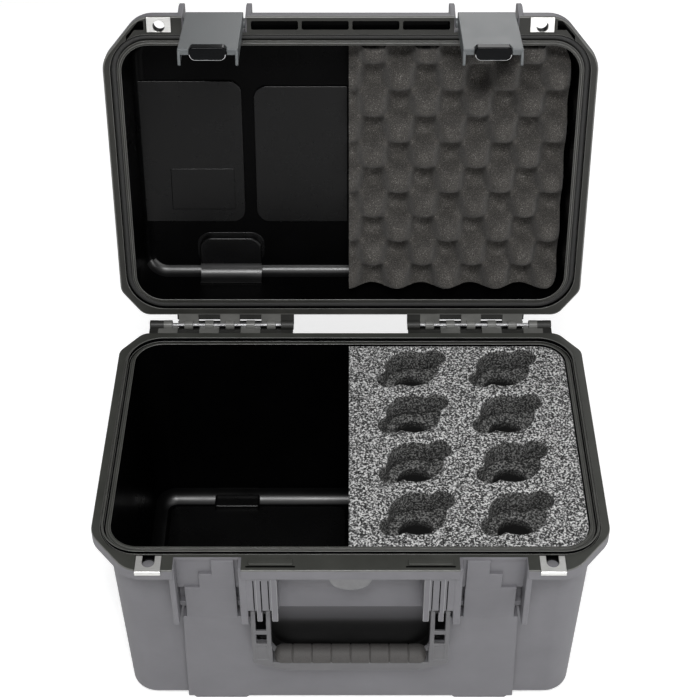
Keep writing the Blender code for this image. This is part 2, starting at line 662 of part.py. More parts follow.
def front_features(side):
    """Ribs, keepers, pads and handle bracket on one half of the base's front."""
    pieces = []
    low, high = LATCH_CENTRE - BAY_WIDTH / 2, LATCH_CENTRE + BAY_WIDTH / 2
    for near in (high, low - BAY_RIB):
        x_low, x_high = both_sides(near, near + BAY_RIB, side)
        pieces.append(prism("rib", rib_profile(), x_low, x_high, "YZ"))
    pad_low, pad_high = LATCH_CENTRE - BAY_PAD_WIDTH / 2, LATCH_CENTRE + BAY_PAD_WIDTH / 2
    under = RIM - KEEPER_UNDERSIDE
    for near, far in ((pad_high - OVERRUN, high + OVERRUN), (low - OVERRUN, pad_low + OVERRUN)):
        x_low, x_high = both_sides(near, far, side)
        pieces.append(on_wall_box("keeper", x_low, x_high, under, under + KEEPER_HEIGHT,
                                  KEEPER_MARGIN))
    x_low, x_high = both_sides(pad_low, pad_high, side)
    top = RIM - BAY_PAD_DROP
    pieces.append(on_wall_box("pad", x_low, x_high, RIM - PANEL_TOP_DROP - SHARE_DEPTH, top,
                              PANEL_TOP_MARGIN))
    x_low, x_high = both_sides(low - OVERRUN, high + OVERRUN, side)
    relief = BAY_CUT_MARGIN + BAY_BACK_STEP
    pieces.append(on_wall_box("bay_back", x_low, x_high, top - OVERRUN,
                              RIM - FLANGE_LAND_THICKNESS / 2, relief))
    middle = side * (LATCH_CENTRE - OVERRUN)
    half = BAY_STEP_WIDTH / 2
    pieces.append(on_wall_box("step", middle - half, middle + half, top - OVERRUN,
                              RIM - BAY_STEP_DROP, PANEL_TOP_MARGIN - TOUCH_GAP))
    half = BAY_TAB_WIDTH / 2
    pieces.append(on_wall_box("tab", middle - half, middle + half, RIM - BAY_STEP_DROP - OVERRUN,
                              RIM - BAY_TAB_DROP, PANEL_TOP_MARGIN - BAY_RELIEF))
    for near, width in ((BRACKET_INNER_END, LUG_INNER_WIDTH), (LUG_MIDDLE_START, LUG_MIDDLE_WIDTH)):
        x_low, x_high = both_sides(near, near + width, side)
        pieces.append(prism("lug", lug_profile(), x_low, x_high, "YZ"))
    x_low, x_high = both_sides(BRACKET_INNER_END + SHARE_DEPTH / 2, low - BAY_RIB / 2, side)
    front = FRONT + BAY_RIB_MARGIN + TOUCH_GAP
    pieces.append(box("web", (x_low, front, RIM - BRACKET_WEB_DROP),
                      (x_high, front + BRACKET_WEB_THICKNESS, RIM - BRACKET_TOP_DROP)))
    x_low, x_high = both_sides(POCKET_PITCH * 3 / 2 - BAR_LENGTH / 2,
                               POCKET_PITCH * 3 / 2 + BAR_LENGTH / 2, side)
    bar_front = FRONT + POCKET_MARGIN + (POCKET_WIDTH - BAR_WIDTH) / 2
    outline = rounded(x_low, x_high, bar_front, bar_front + BAR_WIDTH, BAR_WIDTH / 4)
    pieces.append(prism("land_bar", outline, RIM - SHARE_DEPTH, RIM + BAR_HEIGHT))
    return pieces


def feet():
    """Four low pads under the floor, flush with the front panel and the back wall."""
    pieces = []
    for side in (1, -1):
        x_low, x_high = both_sides(FOOT_INNER_END, FOOT_INNER_END + FOOT_LENGTH, side)
        front = FRONT + PANEL_FOOT_MARGIN + SHARE_DEPTH / 2
        back = OPENING_BACK + WALL - BASE_FRONT_DRAFT - BASE_BOTTOM_RADIUS / 2
        for low in (front, back - FOOT_DEPTH):
            outline = rounded(x_low, x_high, low, low + FOOT_DEPTH, FOOT_RADIUS)
            pieces.append(prism("foot", outline, 0, FOOT_HEIGHT + SHARE_DEPTH))
    return pieces


def floor_field():
    """The open half's floor, raised a little between the walls' fillets and the foam."""
    floor = FOOT_HEIGHT + WALL
    margin = BASE_FLOOR_RADIUS + SHARE_DEPTH
    outline = rounded(BASE_END_DRAFT + margin - OPENING_HALF, FOAM_INNER_END - FLOOR_FIELD_FOAM_GAP,
                      OPENING_FRONT + BASE_FRONT_DRAFT + margin,
                      OPENING_BACK - BASE_FRONT_DRAFT - margin, FLOOR_FIELD_RADIUS)
    return prism("floor_field", outline, floor - SHARE_DEPTH, floor + FLOOR_FIELD_RISE)


def make_base():
    body = base_shell()
    join(body, [floor_field()])
    low = LATCH_CENTRE - BAY_WIDTH / 2 - SHARE_DEPTH
    high = LATCH_CENTRE + BAY_WIDTH / 2 + SHARE_DEPTH
    notches = []
    for side in (1, -1):
        x_low, x_high = both_sides(low, high, side)
        notches.append(box("notch", (x_low, FRONT - OVERRUN, RIM - FLANGE_SKIRT_HEIGHT - OVERRUN),
                           (x_high, FRONT + BAY_CUT_MARGIN, RIM + OVERRUN)))
    cut(body, notches)
    join(body, [front_panel()])
    for side in (1, -1):
        join(body, front_features(side))
        half = TRIGGER_WIDTH / 2 + BAY_TRIGGER_CLEARANCE
        x_low, x_high = both_sides(LATCH_CENTRE - half, LATCH_CENTRE + half, side)
        cut(body, [box("trigger_room", (x_low, FRONT, RIM - TRIGGER_END_DROP - BAY_TRIGGER_CLEARANCE),
                       (x_high, FRONT + PANEL_TOP_MARGIN + BAY_TRIGGER_DEPTH,
                        RIM - TRIGGER_TOP_DROP + BAY_TRIGGER_HEADROOM))])
        join(body, knuckles(0, side))
    join(body, feet())
    backing_front = FRONT + FLANGE_SKIRT_THICKNESS - SHARE_DEPTH / 2
    half = BADGE_HALF_LENGTH - BADGE_BACKING_INSET
    join(body, [box("backing", (-half, backing_front, RIM - FLANGE_SKIRT_HEIGHT - BADGE_HEIGHT
                                + BADGE_BACKING_INSET),
                    (half, backing_front + BADGE_BACKING, RIM - FLANGE_LAND_THICKNESS / 2))])
    for side in (1, -1):
        x_low, x_high = both_sides(HINGE_INNER_END - OVERRUN, HINGE_OUTER_END - HINGE_PIN_INSET, side)
        bore = HINGE_PIN_RADIUS + TOUCH_GAP
        cut(body, [rod("hinge_bore", x_low, x_high, HINGE_Y, HINGE_Z, bore)])
        x_low, x_high = both_sides(BRACKET_INNER_END - OVERRUN,
                                   LATCH_CENTRE - BAY_WIDTH / 2 + OVERRUN, side)
        bore = HANDLE_PIN_RADIUS + TOUCH_GAP
        cut(body, [rod("handle_bore", x_low, x_high, FRONT + HANDLE_PIVOT_MARGIN,
                       RIM - HANDLE_PIVOT_DROP, bore)])
        x_low, x_high = both_sides(LOCK_CENTRE - LOCK_WIDTH / 2 - TOUCH_GAP,
                                   LOCK_CENTRE + LOCK_WIDTH / 2 + TOUCH_GAP, side)
        cut(body, [box("lock_seat", (x_low, FRONT - OVERRUN, RIM - LOCK_SHEET - 2 * TOUCH_GAP),
                       (x_high, FRONT + LOCK_BASE_BACK_MARGIN + TOUCH_GAP, RIM + OVERRUN)),
                   prism("lock_hole", circle((side * LOCK_CENTRE, FRONT + LOCK_HOLE_MARGIN),
                                             LOCK_HOLE_RADIUS + TOUCH_GAP, ROUND_STEPS),
                         RIM - FLANGE_SKIRT_HEIGHT, RIM + OVERRUN)])
    return body


def ear_profile():
    root = OPENING_FRONT - WALL / 8
    low = LID_RIM + SHARE_DEPTH / 2
    step = FRONT + BAY_CUT_MARGIN + SHARE_DEPTH
    over = LID_RIM + FLANGE_SKIRT_HEIGHT - OVERRUN
    high = LID_RIM + EAR_HEIGHT
    front = FRONT + BAY_RIB_MARGIN / 4
    proud = FRONT - EAR_PROUD
    return [(root, over), (step, over), (step, low), (front, low),
            (proud, LID_RIM + EAR_HEIGHT * 2 / 3),
            (proud + SHARE_DEPTH, high - SHARE_DEPTH), (proud + BAY_RIB, high + SHARE_DEPTH),
            (root, high + BAY_RIB)]


def lid_raised_areas():
    """Shallow raised fields in the lid's ceiling and the bulge beside the hinge."""
    pieces = []
    ceiling = LID_RIM + LID_HEIGHT - WALL
    spans = ((-LID_PAD_OUTER_END, -LID_PAD_INNER_END),
             (-LID_PAD_CENTRE_END, FOAM_INNER_END - LID_PAD_FOAM_GAP))
    for low, high in spans:
        outline = rounded(low, high, FRONT + LID_PAD_FRONT_MARGIN, BACK - LID_PAD_BACK_MARGIN,
                          LID_PAD_RADIUS)
        pieces.append(prism("field", outline, ceiling - LID_PAD_RISE, ceiling + SHARE_DEPTH))
    back = OPENING_BACK - LID_FRONT_DRAFT + SHARE_DEPTH
    outline = rounded(-LID_BUMP_INNER_END - LID_BUMP_LENGTH, -LID_BUMP_INNER_END,
                      BACK - LID_BUMP_REACH, back, LID_BUMP_RADIUS)
    pieces.append(prism("bulge", outline, ceiling - LID_BUMP_RISE, ceiling + SHARE_DEPTH))
    return pieces


def lid_pockets(side):
    """Pockets that open at the lid's front rim, the outer one following the cut corner."""
    pieces = []
    front = FRONT + POCKET_MARGIN
    for index in (0, 1):
        middle = side * POCKET_PITCH * (index + 1 / 2)
        outline = rounded(middle - POCKET_LENGTH / 2, middle + POCKET_LENGTH / 2, front,
                          front + POCKET_WIDTH, POCKET_WIDTH / 5, 2)
        pieces.append(prism("pocket", outline, LID_RIM - OVERRUN, LID_RIM + POCKET_DEPTH))
    near = CORNER_POCKET_START
    corner = [(near, front), (near + POCKET_MARGIN, front),
              (near + CORNER_POCKET_LENGTH, front + CORNER_POCKET_REACH - POCKET_MARGIN),
              (near + CORNER_POCKET_LENGTH, front + CORNER_POCKET_REACH),
              (near + CORNER_POCKET_WIDTH, front + CORNER_POCKET_WIDTH),
              (near, front + CORNER_POCKET_WIDTH)]
    if side < 0:
        corner = [(-x, y) for x, y in reversed(corner)]
    pieces.append(prism("corner_pocket", corner, LID_RIM - OVERRUN, LID_RIM + POCKET_DEPTH))
    return pieces


def make_lid():
    body = lid_shell()
    low = LATCH_CENTRE - BAY_WIDTH / 2 - SHARE_DEPTH
    high = LATCH_CENTRE + BAY_WIDTH / 2 + SHARE_DEPTH
    for side in (1, -1):
        x_low, x_high = both_sides(low, high, side)
        cut(body, [box("notch", (x_low, FRONT - OVERRUN, LID_RIM - OVERRUN),
                       (x_high, FRONT + BAY_CUT_MARGIN, LID_RIM + FLANGE_SKIRT_HEIGHT + OVERRUN))])
        cut(body, lid_pockets(side))
        join(body, knuckles(1, side))
        for near in (LATCH_CENTRE + BAY_WIDTH / 2, LATCH_CENTRE - BAY_WIDTH / 2 - BAY_RIB):
            x_low, x_high = both_sides(near, near + BAY_RIB, side)
            join(body, [prism("ear", ear_profile(), x_low, x_high, "YZ")])
    join(body, lid_raised_areas())
    for side in (1, -1):
        x_low, x_high = both_sides(HINGE_INNER_END - OVERRUN, HINGE_OUTER_END - HINGE_PIN_INSET, side)
        bore = HINGE_PIN_RADIUS + TOUCH_GAP
        cut(body, [rod("hinge_bore", x_low, x_high, HINGE_Y, HINGE_Z, bore)])
        reach = BAY_WIDTH / 2 + BAY_RIB + OVERRUN
        x_low, x_high = both_sides(LATCH_CENTRE - reach, LATCH_CENTRE + reach, side)
        bore = LATCH_PIN_RADIUS + TOUCH_GAP
        cut(body, [rod("latch_bore", x_low, x_high, FRONT + LATCH_PIVOT_INSET,
                       LID_RIM + LATCH_PIVOT_RISE, bore)])
        x_low, x_high = both_sides(LOCK_CENTRE - LOCK_WIDTH / 2 - TOUCH_GAP,
                                   LOCK_CENTRE + LOCK_WIDTH / 2 + TOUCH_GAP, side)
        cut(body, [box("lock_seat", (x_low, FRONT + LOCK_LID_FRONT_MARGIN - TOUCH_GAP,
                                     LID_RIM - OVERRUN),
                       (x_high, FRONT + LOCK_LID_BACK_MARGIN + TOUCH_GAP,
                        LID_RIM + LOCK_SHEET + 2 * TOUCH_GAP)),
                   prism("lock_hole", circle((side * LOCK_CENTRE, FRONT + LOCK_HOLE_MARGIN),
                                             LOCK_HOLE_RADIUS + TOUCH_GAP, ROUND_STEPS),
                         LID_RIM - OVERRUN, LID_RIM + FLANGE_SKIRT_HEIGHT + OVERRUN)])
    return body


def ring(name, loops):
    """A closed band whose section runs round through the given rings."""
    form = bmesh.new()
    rings = [[form.verts.new(point) for point in loop] for loop in loops]
    for lower, upper in zip(rings, rings[1:] + rings[:1]):
        for here in range(len(lower)):
            after = (here + 1) % len(lower)
            form.faces.new((lower[here], lower[after], upper[after], upper[here]))
    bmesh.ops.recalc_face_normals(form, faces=form.faces)
    data = bpy.data.meshes.new(name)
    form.to_mesh(data)
    form.free()
    return new_object(name, data)


def make_seal():
    near = GROOVE_START + TOUCH_GAP
    far = GROOVE_START + SEAL_WIDTH - TOUCH_GAP
    low = LID_RIM + SEAL_DROP
    high = low + SEAL_THICKNESS
    round_off = SEAL_THICKNESS / 4
    section = ((near, high), (near, low + round_off), (near + round_off, low),
               (far - round_off, low), (far, low + round_off), (far, high))
    return ring("lid_gasket", [at_height(opening_outline(offset), z) for offset, z in section])


def latch_pivot(side):
    return Vector((side * LATCH_CENTRE, FRONT + LATCH_PIVOT_INSET, LID_RIM + LATCH_PIVOT_RISE))


def trigger_pivot(side):
    """Where the trigger's pin crosses, before the latch leans."""
    face = FRONT - LATCH_PROUD
    return Vector((side * LATCH_CENTRE, face + TRIGGER_PIVOT_INSET, LID_RIM - TRIGGER_PIVOT_DROP))


def leaned(point, side):
    """A point of an upright latch after the latch leans on its pivot."""
    pivot = latch_pivot(side)
    return pivot + Matrix.Rotation(LATCH_LEAN, 3, "X") @ (point - pivot)


def lean(body, side):
    pivot = latch_pivot(side)
    turn = (Matrix.Translation(pivot) @ Matrix.Rotation(LATCH_LEAN, 4, "X")
            @ Matrix.Translation(-pivot))
    body.data.transform(turn)
    return body


def make_latch(side):
    """Plate, barrel, two cheeks with hooks, and a notch in its end for the trigger."""
    face = FRONT - LATCH_PROUD
    pivot = latch_pivot(side)
    half = LATCH_WIDTH / 2
    end = LID_RIM - LATCH_LENGTH
    top = pivot.z + LATCH_BARREL_RADIUS * 0.8
    inner = face + LATCH_PLATE
    plate = [(face, top - SHARE_DEPTH), (face, end), (inner, end),
             (inner, pivot.z - 2 * LATCH_BARREL_RADIUS),
             (pivot.y - LATCH_BARREL_RADIUS / 2, pivot.z - LATCH_BARREL_RADIUS * 0.7),
             (pivot.y, pivot.z), (pivot.y, top), (face + SHARE_DEPTH, top)]
    body = prism("latch", plate, pivot.x - half, pivot.x + half, "YZ")
    join(body, [rod("barrel", pivot.x - half + SHARE_DEPTH / 2, pivot.x + half - SHARE_DEPTH / 2,
                    pivot.y, pivot.z, LATCH_BARREL_RADIUS, ROUND_STEPS)])
    hook_top = LID_RIM - LATCH_HOOK_DROP
    hook_end = hook_top - LATCH_HOOK_HEIGHT
    edge = face + LATCH_DEPTH
    start = pivot.z - LATCH_BARREL_RADIUS
    cheek = [(face + SHARE_DEPTH, start), (edge - 2 * LATCH_PLATE, start - SHARE_DEPTH),
             (edge, start - 2 * LATCH_BARREL_RADIUS), (edge, hook_top),
             (edge + LATCH_HOOK_NOSE, hook_top),
             (edge + LATCH_HOOK_NOSE, hook_end + LATCH_HOOK_HEIGHT / 2),
             (edge + LATCH_HOOK_NOSE / 2, hook_end), (inner + LATCH_PLATE, hook_end),
             (face + SHARE_DEPTH, end + SHARE_DEPTH)]
    cheek = list(reversed(cheek))
    for near in (-half - TOUCH_GAP / 2, half - LATCH_CHEEK + TOUCH_GAP / 2):
        join(body, [prism("cheek", cheek, pivot.x + near, pivot.x + near + LATCH_CHEEK, "YZ")])
    slot = TRIGGER_WIDTH / 2 + TOUCH_GAP
    for near, far in ((-half + SHARE_DEPTH, -slot - TOUCH_GAP), (slot + TOUCH_GAP, half - SHARE_DEPTH)):
        join(body, [box("end_rail", (pivot.x + near, inner - SHARE_DEPTH, end + TOUCH_GAP),
                        (pivot.x + far, face + LATCH_END_THICKNESS, end + LATCH_END_HEIGHT))])
    pin = trigger_pivot(side)
    cut(body, [box("trigger_notch", (pivot.x - slot, face - OVERRUN, end - OVERRUN),
                   (pivot.x + slot, inner + OVERRUN, LID_RIM - TRIGGER_TOP_DROP + 2 * TOUCH_GAP)),
               rod("pin_bore", pin.x - half - OVERRUN, pin.x + half + OVERRUN, pin.y, pin.z,
                   TRIGGER_PIN_RADIUS + TOUCH_GAP),
               rod("bore", pivot.x - half - OVERRUN, pivot.x + half + OVERRUN, pivot.y, pivot.z,
                   LATCH_PIN_RADIUS + TOUCH_GAP)])
    return lean(body, side)


def make_trigger(side):
    """A rounded cap below the latch's end and a flat lever up to the pin."""
    pin = trigger_pivot(side)
    front = FRONT - LATCH_PROUD - TRIGGER_PROUD
    back = front + TRIGGER_DEPTH
    top = LID_RIM - TRIGGER_TOP_DROP
    end = LID_RIM - TRIGGER_END_DROP
    cap = rounded(front, back, end, top, TRIGGER_CORNER)
    half = TRIGGER_WIDTH / 2
    body = prism("trigger", cap, pin.x - half, pin.x + half, "YZ")
    lever_half = TRIGGER_LEVER_WIDTH / 2
    lever_front = pin.y - TRIGGER_LEVER_THICKNESS / 2
    lever = box("lever", (pin.x - lever_half, lever_front, top - SHARE_DEPTH),
                (pin.x + lever_half, lever_front + TRIGGER_LEVER_THICKNESS,
                 pin.z + TRIGGER_LEVER_RISE))
    boss = rod("boss", pin.x - lever_half + SHARE_DEPTH, pin.x + lever_half - SHARE_DEPTH,
               pin.y, pin.z, TRIGGER_BOSS_RADIUS)
    join(body, [lever, boss])
    cut(body, [rod("pin_bore", pin.x - lever_half - OVERRUN, pin.x + lever_half + OVERRUN,
                   pin.y, pin.z, TRIGGER_PIN_RADIUS + TOUCH_GAP)])
    return lean(body, side)


def make_trigger_pin(side):
    pin = trigger_pivot(side)
    half = LATCH_WIDTH / 2 - TOUCH_GAP
    body = rod("trigger_pin", pin.x - half, pin.x + half, pin.y, pin.z, TRIGGER_PIN_RADIUS)
    return lean(body, side)


def tube(name, path, radius, sides):
    """A round wire along a path of points."""
    loops = []
    normal = Vector((0, 1, 0))
    for index, point in enumerate(path):
        ahead = path[min(index + 1, len(path) - 1)]
        behind = path[max(index - 1, 0)]
        along = (ahead - behind).normalized()
        normal = (normal - along * normal.dot(along)).normalized()
        across = along.cross(normal)
        loops.append([point + radius * (math.cos(2 * math.pi * side / sides) * normal
                                        + math.sin(2 * math.pi * side / sides) * across)
                      for side in range(sides)])
    return loft(name, loops)


def make_spring(side):
    """A torsion coil on the trigger's pin, beside the lever, with a leg along the latch."""
    pin = trigger_pivot(side)
    start = pin.x + side * (TRIGGER_LEVER_WIDTH / 2 + SHARE_DEPTH)
    steps = SMALL_ROUND_STEPS
    path = [Vector((start, pin.y - SPRING_COIL_RADIUS, pin.z + SPRING_LEG))]
    for step in range(steps * SPRING_TURNS + 1):
        angle = 2 * math.pi * step / steps
        path.append(Vector((start + side * SPRING_PITCH * step / steps,
                            pin.y - SPRING_COIL_RADIUS * math.cos(angle),
                            pin.z - SPRING_COIL_RADIUS * math.sin(angle))))
    last = path[-1]
    path.append(Vector((last.x, last.y, last.z - SPRING_LEG)))
    body = tube("spring", path, SPRING_WIRE_RADIUS, 6)
    return lean(body, side)


def handle_pivot():
    return Vector((0, FRONT + HANDLE_PIVOT_MARGIN, RIM - HANDLE_PIVOT_DROP))


def make_handle():
    """Lower band with cut corners, four slotted arms with eyes, and the rungs between them."""
    pivot = handle_pivot()
    front = FRONT + HANDLE_FRONT_MARGIN
    back = front + HANDLE_BAR_DEPTH
    bottom = RIM - HANDLE_BOTTOM_DROP
    band_top = bottom + HANDLE_BAND
    half = HANDLE_HALF_LENGTH
    outline = [(-half + HANDLE_CORNER_X, bottom), (half - HANDLE_CORNER_X, bottom),
               (half - SHARE_DEPTH, bottom + HANDLE_CORNER_Z - OVERRUN),
               (half, bottom + HANDLE_CORNER_Z), (half, band_top + HANDLE_BAND / 2),
               (HANDLE_INNER_PRONG, band_top + HANDLE_BAND / 2), (HANDLE_INNER_PRONG, band_top),
               (-HANDLE_INNER_PRONG, band_top), (-HANDLE_INNER_PRONG, band_top + HANDLE_BAND / 2),
               (-half, band_top + HANDLE_BAND / 2), (-half, bottom + HANDLE_CORNER_Z),
               (-half + SHARE_DEPTH, bottom + HANDLE_CORNER_Z - OVERRUN)]
    body = prism("handle_frame", outline, front, back, "XZ")
    eye = []
    for step in range(SMALL_ROUND_STEPS + 1):
        angle = math.pi * step / SMALL_ROUND_STEPS
        eye.append((pivot.y + HANDLE_EYE_RADIUS * math.cos(angle),
                    pivot.z + HANDLE_EYE_RADIUS * math.sin(angle)))
    prong_back = front + HANDLE_PRONG_DEPTH
    prong_end = band_top + HANDLE_BAND / 4
    prong = eye + [(pivot.y - HANDLE_EYE_RADIUS, pivot.z - HANDLE_EYE_RADIUS / 2),
                   (front + SHARE_DEPTH / 4, pivot.z - HANDLE_EYE_SHOULDER),
                   (front + SHARE_DEPTH / 4, prong_end), (prong_back, prong_end),
                   (prong_back, pivot.z - HANDLE_EYE_SHOULDER),
                   (pivot.y + HANDLE_EYE_RADIUS, pivot.z - HANDLE_EYE_RADIUS / 2)]
    for side in (1, -1):
        for near in (HANDLE_OUTER_PRONG, HANDLE_INNER_PRONG + SHARE_DEPTH / 4):
            x_low, x_high = both_sides(near, near + HANDLE_PRONG_WIDTH - SHARE_DEPTH / 4, side)
            join(body, [prism("prong", prong, x_low, x_high, "YZ")])
        x_low, x_high = both_sides(HANDLE_INNER_PRONG + SHARE_DEPTH, half - SHARE_DEPTH, side)
        for drop, height in ((HANDLE_FIRST_RUNG, HANDLE_FIRST_RUNG_HEIGHT),
                             (HANDLE_SECOND_RUNG, HANDLE_SECOND_RUNG_HEIGHT)):
            join(body, [box("rung", (x_low, front + SHARE_DEPTH / 2, RIM - drop - height),
                            (x_high, prong_back - SHARE_DEPTH / 2, RIM - drop))])
        x_low, x_high = both_sides(GRIP_HALF_LENGTH + TOUCH_GAP, half - SHARE_DEPTH, side)
        join(body, [box("gusset", (x_low, front + SHARE_DEPTH / 2, band_top - SHARE_DEPTH),
                        (x_high, prong_back - SHARE_DEPTH / 2,
                         RIM - HANDLE_SECOND_RUNG - HANDLE_SECOND_RUNG_HEIGHT / 2))])
        x_low, x_high = both_sides(HANDLE_INNER_PRONG - OVERRUN, half + OVERRUN, side)
        cut(body, [rod("eye_bore", x_low, x_high, pivot.y, pivot.z, HANDLE_PIN_RADIUS + TOUCH_GAP)])
    reach = GRIP_HALF_LENGTH - HANDLE_TONGUE_WIDTH
    middle = front + HANDLE_BAR_DEPTH / 2
    join(body, [box("tongue", (-reach, middle - HANDLE_TONGUE_WIDTH / 2, band_top - SHARE_DEPTH),
                    (reach, middle + HANDLE_TONGUE_WIDTH / 2, band_top + HANDLE_TONGUE_HEIGHT))])
    return body


def make_grip():
    """A soft D-shaped sleeve with grooves round it, slotted over the bar's tongue."""
    pivot = handle_pivot()
    bottom = RIM - HANDLE_BOTTOM_DROP + HANDLE_BAND + TOUCH_GAP
    centre = RIM - GRIP_CENTRE_DROP
    slot = HANDLE_TONGUE_WIDTH / 2 + TOUCH_GAP
    slot_top = bottom + HANDLE_TONGUE_HEIGHT
    slot_middle = FRONT + HANDLE_FRONT_MARGIN + HANDLE_BAR_DEPTH / 2
    reach = GRIP_HALF_LENGTH
    half_groove = GRIP_GROOVE_WIDTH / 2
    stations = [(-reach, GRIP_END_RADIUS), (-reach + GRIP_END_RADIUS, 0)]
    for index in range(GRIP_GROOVES):
        middle = (index - (GRIP_GROOVES - 1) / 2) * GRIP_GROOVE_PITCH
        stations += [(middle - half_groove, 0), (middle - half_groove / 2, GRIP_GROOVE_DEPTH),
                     (middle + half_groove / 2, GRIP_GROOVE_DEPTH), (middle + half_groove, 0)]
    stations += [(reach - GRIP_END_RADIUS, 0), (reach, GRIP_END_RADIUS)]
    loops = []
    steps = ARC_STEPS * 3
    for x, inset in stations:
        radius = GRIP_RADIUS - inset
        loop = [(x, slot_middle + slot, bottom), (x, pivot.y + radius, bottom)]
        for step in range(steps + 1):
            angle = math.pi * step / steps
            loop.append((x, pivot.y + radius * math.cos(angle),
                         centre + radius * math.sin(angle)))
        loop += [(x, pivot.y - radius, bottom), (x, slot_middle - slot, bottom),
                 (x, slot_middle - slot, slot_top), (x, slot_middle + slot, slot_top)]
        loops.append(loop)
    return loft("handle_grip", loops)


def make_lock_plate(side, owner):
    """A steel plate let into the flange: folded over the edge below, flat above."""
    low, high = both_sides(LOCK_CENTRE - LOCK_WIDTH / 2, LOCK_CENTRE + LOCK_WIDTH / 2, side)
    centre = (side * LOCK_CENTRE, FRONT + LOCK_HOLE_MARGIN)
    hole = circle(centre, LOCK_HOLE_RADIUS, ROUND_STEPS)
    if owner == "lid":
        body = box("plate", (low, FRONT + LOCK_LID_FRONT_MARGIN, LID_RIM + TOUCH_GAP / 2),
                   (high, FRONT + LOCK_LID_BACK_MARGIN, LID_RIM + LOCK_SHEET + TOUCH_GAP / 2))
        return cut(body, [prism("hole", hole, LID_RIM - OVERRUN, LID_RIM + LOCK_SHEET + OVERRUN)])
    top = RIM - TOUCH_GAP / 2
    under = top - LOCK_SHEET
    skin = FRONT - TOUCH_GAP
    bend = LOCK_SHEET / 2
    profile = [(FRONT + LOCK_BASE_BACK_MARGIN, under), (FRONT + LOCK_BASE_BACK_MARGIN, top),
               (skin - bend, top), (skin - LOCK_SHEET, top - bend),
               (skin - LOCK_SHEET, top - LOCK_LIP), (skin, top - LOCK_LIP), (skin, under)]
    body = prism("plate", profile, low, high, "YZ")
    slot = [(centre[0] - LOCK_HOLE_RADIUS, centre[1]), (centre[0] + LOCK_HOLE_RADIUS, centre[1]),
            (centre[0] + LOCK_HOLE_RADIUS, centre[1] + LOCK_WIDTH),
            (centre[0] - LOCK_HOLE_RADIUS, centre[1] + LOCK_WIDTH)]
    return cut(body, [prism("hole", hole, under - OVERRUN, top + OVERRUN),
                      prism("slot", slot, under - OVERRUN, top + OVERRUN)])


def make_badge():
    """A bare half-round plate that hangs below the flange."""
    top = RIM - FLANGE_SKIRT_HEIGHT - TOUCH_GAP
    outline = []
    for step in range(ROUND_STEPS + 1):
        angle = math.pi + math.pi * step / ROUND_STEPS
        outline.append((BADGE_HALF_LENGTH * math.cos(angle), top + BADGE_HEIGHT * math.sin(angle)))
    back = FRONT + FLANGE_SKIRT_THICKNESS - SHARE_DEPTH / 2 - TOUCH_GAP
    return prism("badge_blank", outline, back - BADGE_THICKNESS, back, "XZ")


def foam_outline(z, extra=0.0):
    """The foam block's outline at a height, a little inside the drafted walls."""
    share = (RIM - z) / BASE_HEIGHT
    inset = FOAM_CLEARANCE + extra
    right = OPENING_HALF - inset - BASE_END_DRAFT * share
    front = OPENING_FRONT + inset + BASE_FRONT_DRAFT * share
    back = OPENING_BACK - inset - BASE_FRONT_DRAFT * share
    radius = OPENING_RADIUS - inset
    return (fillet((right, front), (1, 0), (0, 1), radius, 2 * ARC_STEPS)
            + fillet((right, back), (0, 1), (-1, 0), radius, 2 * ARC_STEPS)
            + [(FOAM_INNER_END, back), (FOAM_INNER_END, front)])


def mic_places():
    """Centres of the seats: as many columns and rows as the foam holds at their pitches."""
    first_x = FOAM_INNER_END + MIC_END_MARGIN
    first_y = OPENING_FRONT + MIC_FRONT_MARGIN
    across = OPENING_HALF - FOAM_CLEARANCE - MIC_END_MARGIN - first_x
    along = OPENING_BACK - MIC_BACK_MARGIN - first_y
    columns = 1 + math.floor(across / MIC_COLUMN_PITCH)
    rows = 1 + math.floor(along / MIC_ROW_PITCH)
    return [(first_x + column * MIC_COLUMN_PITCH, first_y + row * MIC_ROW_PITCH)
            for column in range(columns) for row in range(rows)]


def pocket_outline(centre, inset=0.0):
    """A round seat with two finger notches at opposite corners, moved in by a distance."""
    outline = []
    lobes = ((FINGER_OFFSET_X, FINGER_OFFSET_Y), (-FINGER_OFFSET_X, -FINGER_OFFSET_Y))
    for step in range(POCKET_STEPS):
        angle = 2 * math.pi * (step + 0.5) / POCKET_STEPS
        ray = Vector((math.cos(angle), math.sin(angle)))
        reach = POCKET_RADIUS - inset
        for lobe in lobes:
            along = ray.dot(Vector(lobe))
            rest = along ** 2 - Vector(lobe).length_squared + (FINGER_RADIUS - inset) ** 2
            if along > 0 and rest > 0:
                reach = max(reach, along + math.sqrt(rest))
        outline.append((centre[0] + ray.x * reach, centre[1] + ray.y * reach))
    return outline


def make_mic_foams():
    """A pierced top layer over a deep core with a shallow bed and a blind hole below every seat."""
    top = RIM - FOAM_TOP_DROP
    split = top - FOAM_TOP_LAYER
    upper = loft("mic_foam_upper", [at_height(foam_outline(z), z) for z in (split, top)])
    core_top = split - TOUCH_GAP
    floor = FOOT_HEIGHT + WALL + TOUCH_GAP
    core = loft("mic_foam_lower", [at_height(foam_outline(floor, BASE_FLOOR_RADIUS), floor),
                                   at_height(foam_outline(floor + BASE_FLOOR_RADIUS),
                                             floor + BASE_FLOOR_RADIUS),
                                   at_height(foam_outline(core_top), core_top)])
    for place in mic_places():
        cut(upper, [prism("seat", pocket_outline(place), split - OVERRUN, top + OVERRUN)])
        cut(core, [prism("seat_bed", pocket_outline(place, TOUCH_GAP), core_top - SEAT_CUT_DEPTH,
                         core_top + OVERRUN),
                   prism("hole", circle(place, MIC_HOLE_RADIUS, ROUND_STEPS),
                         RIM - MIC_HOLE_DROP, core_top + OVERRUN)])
    return upper, core


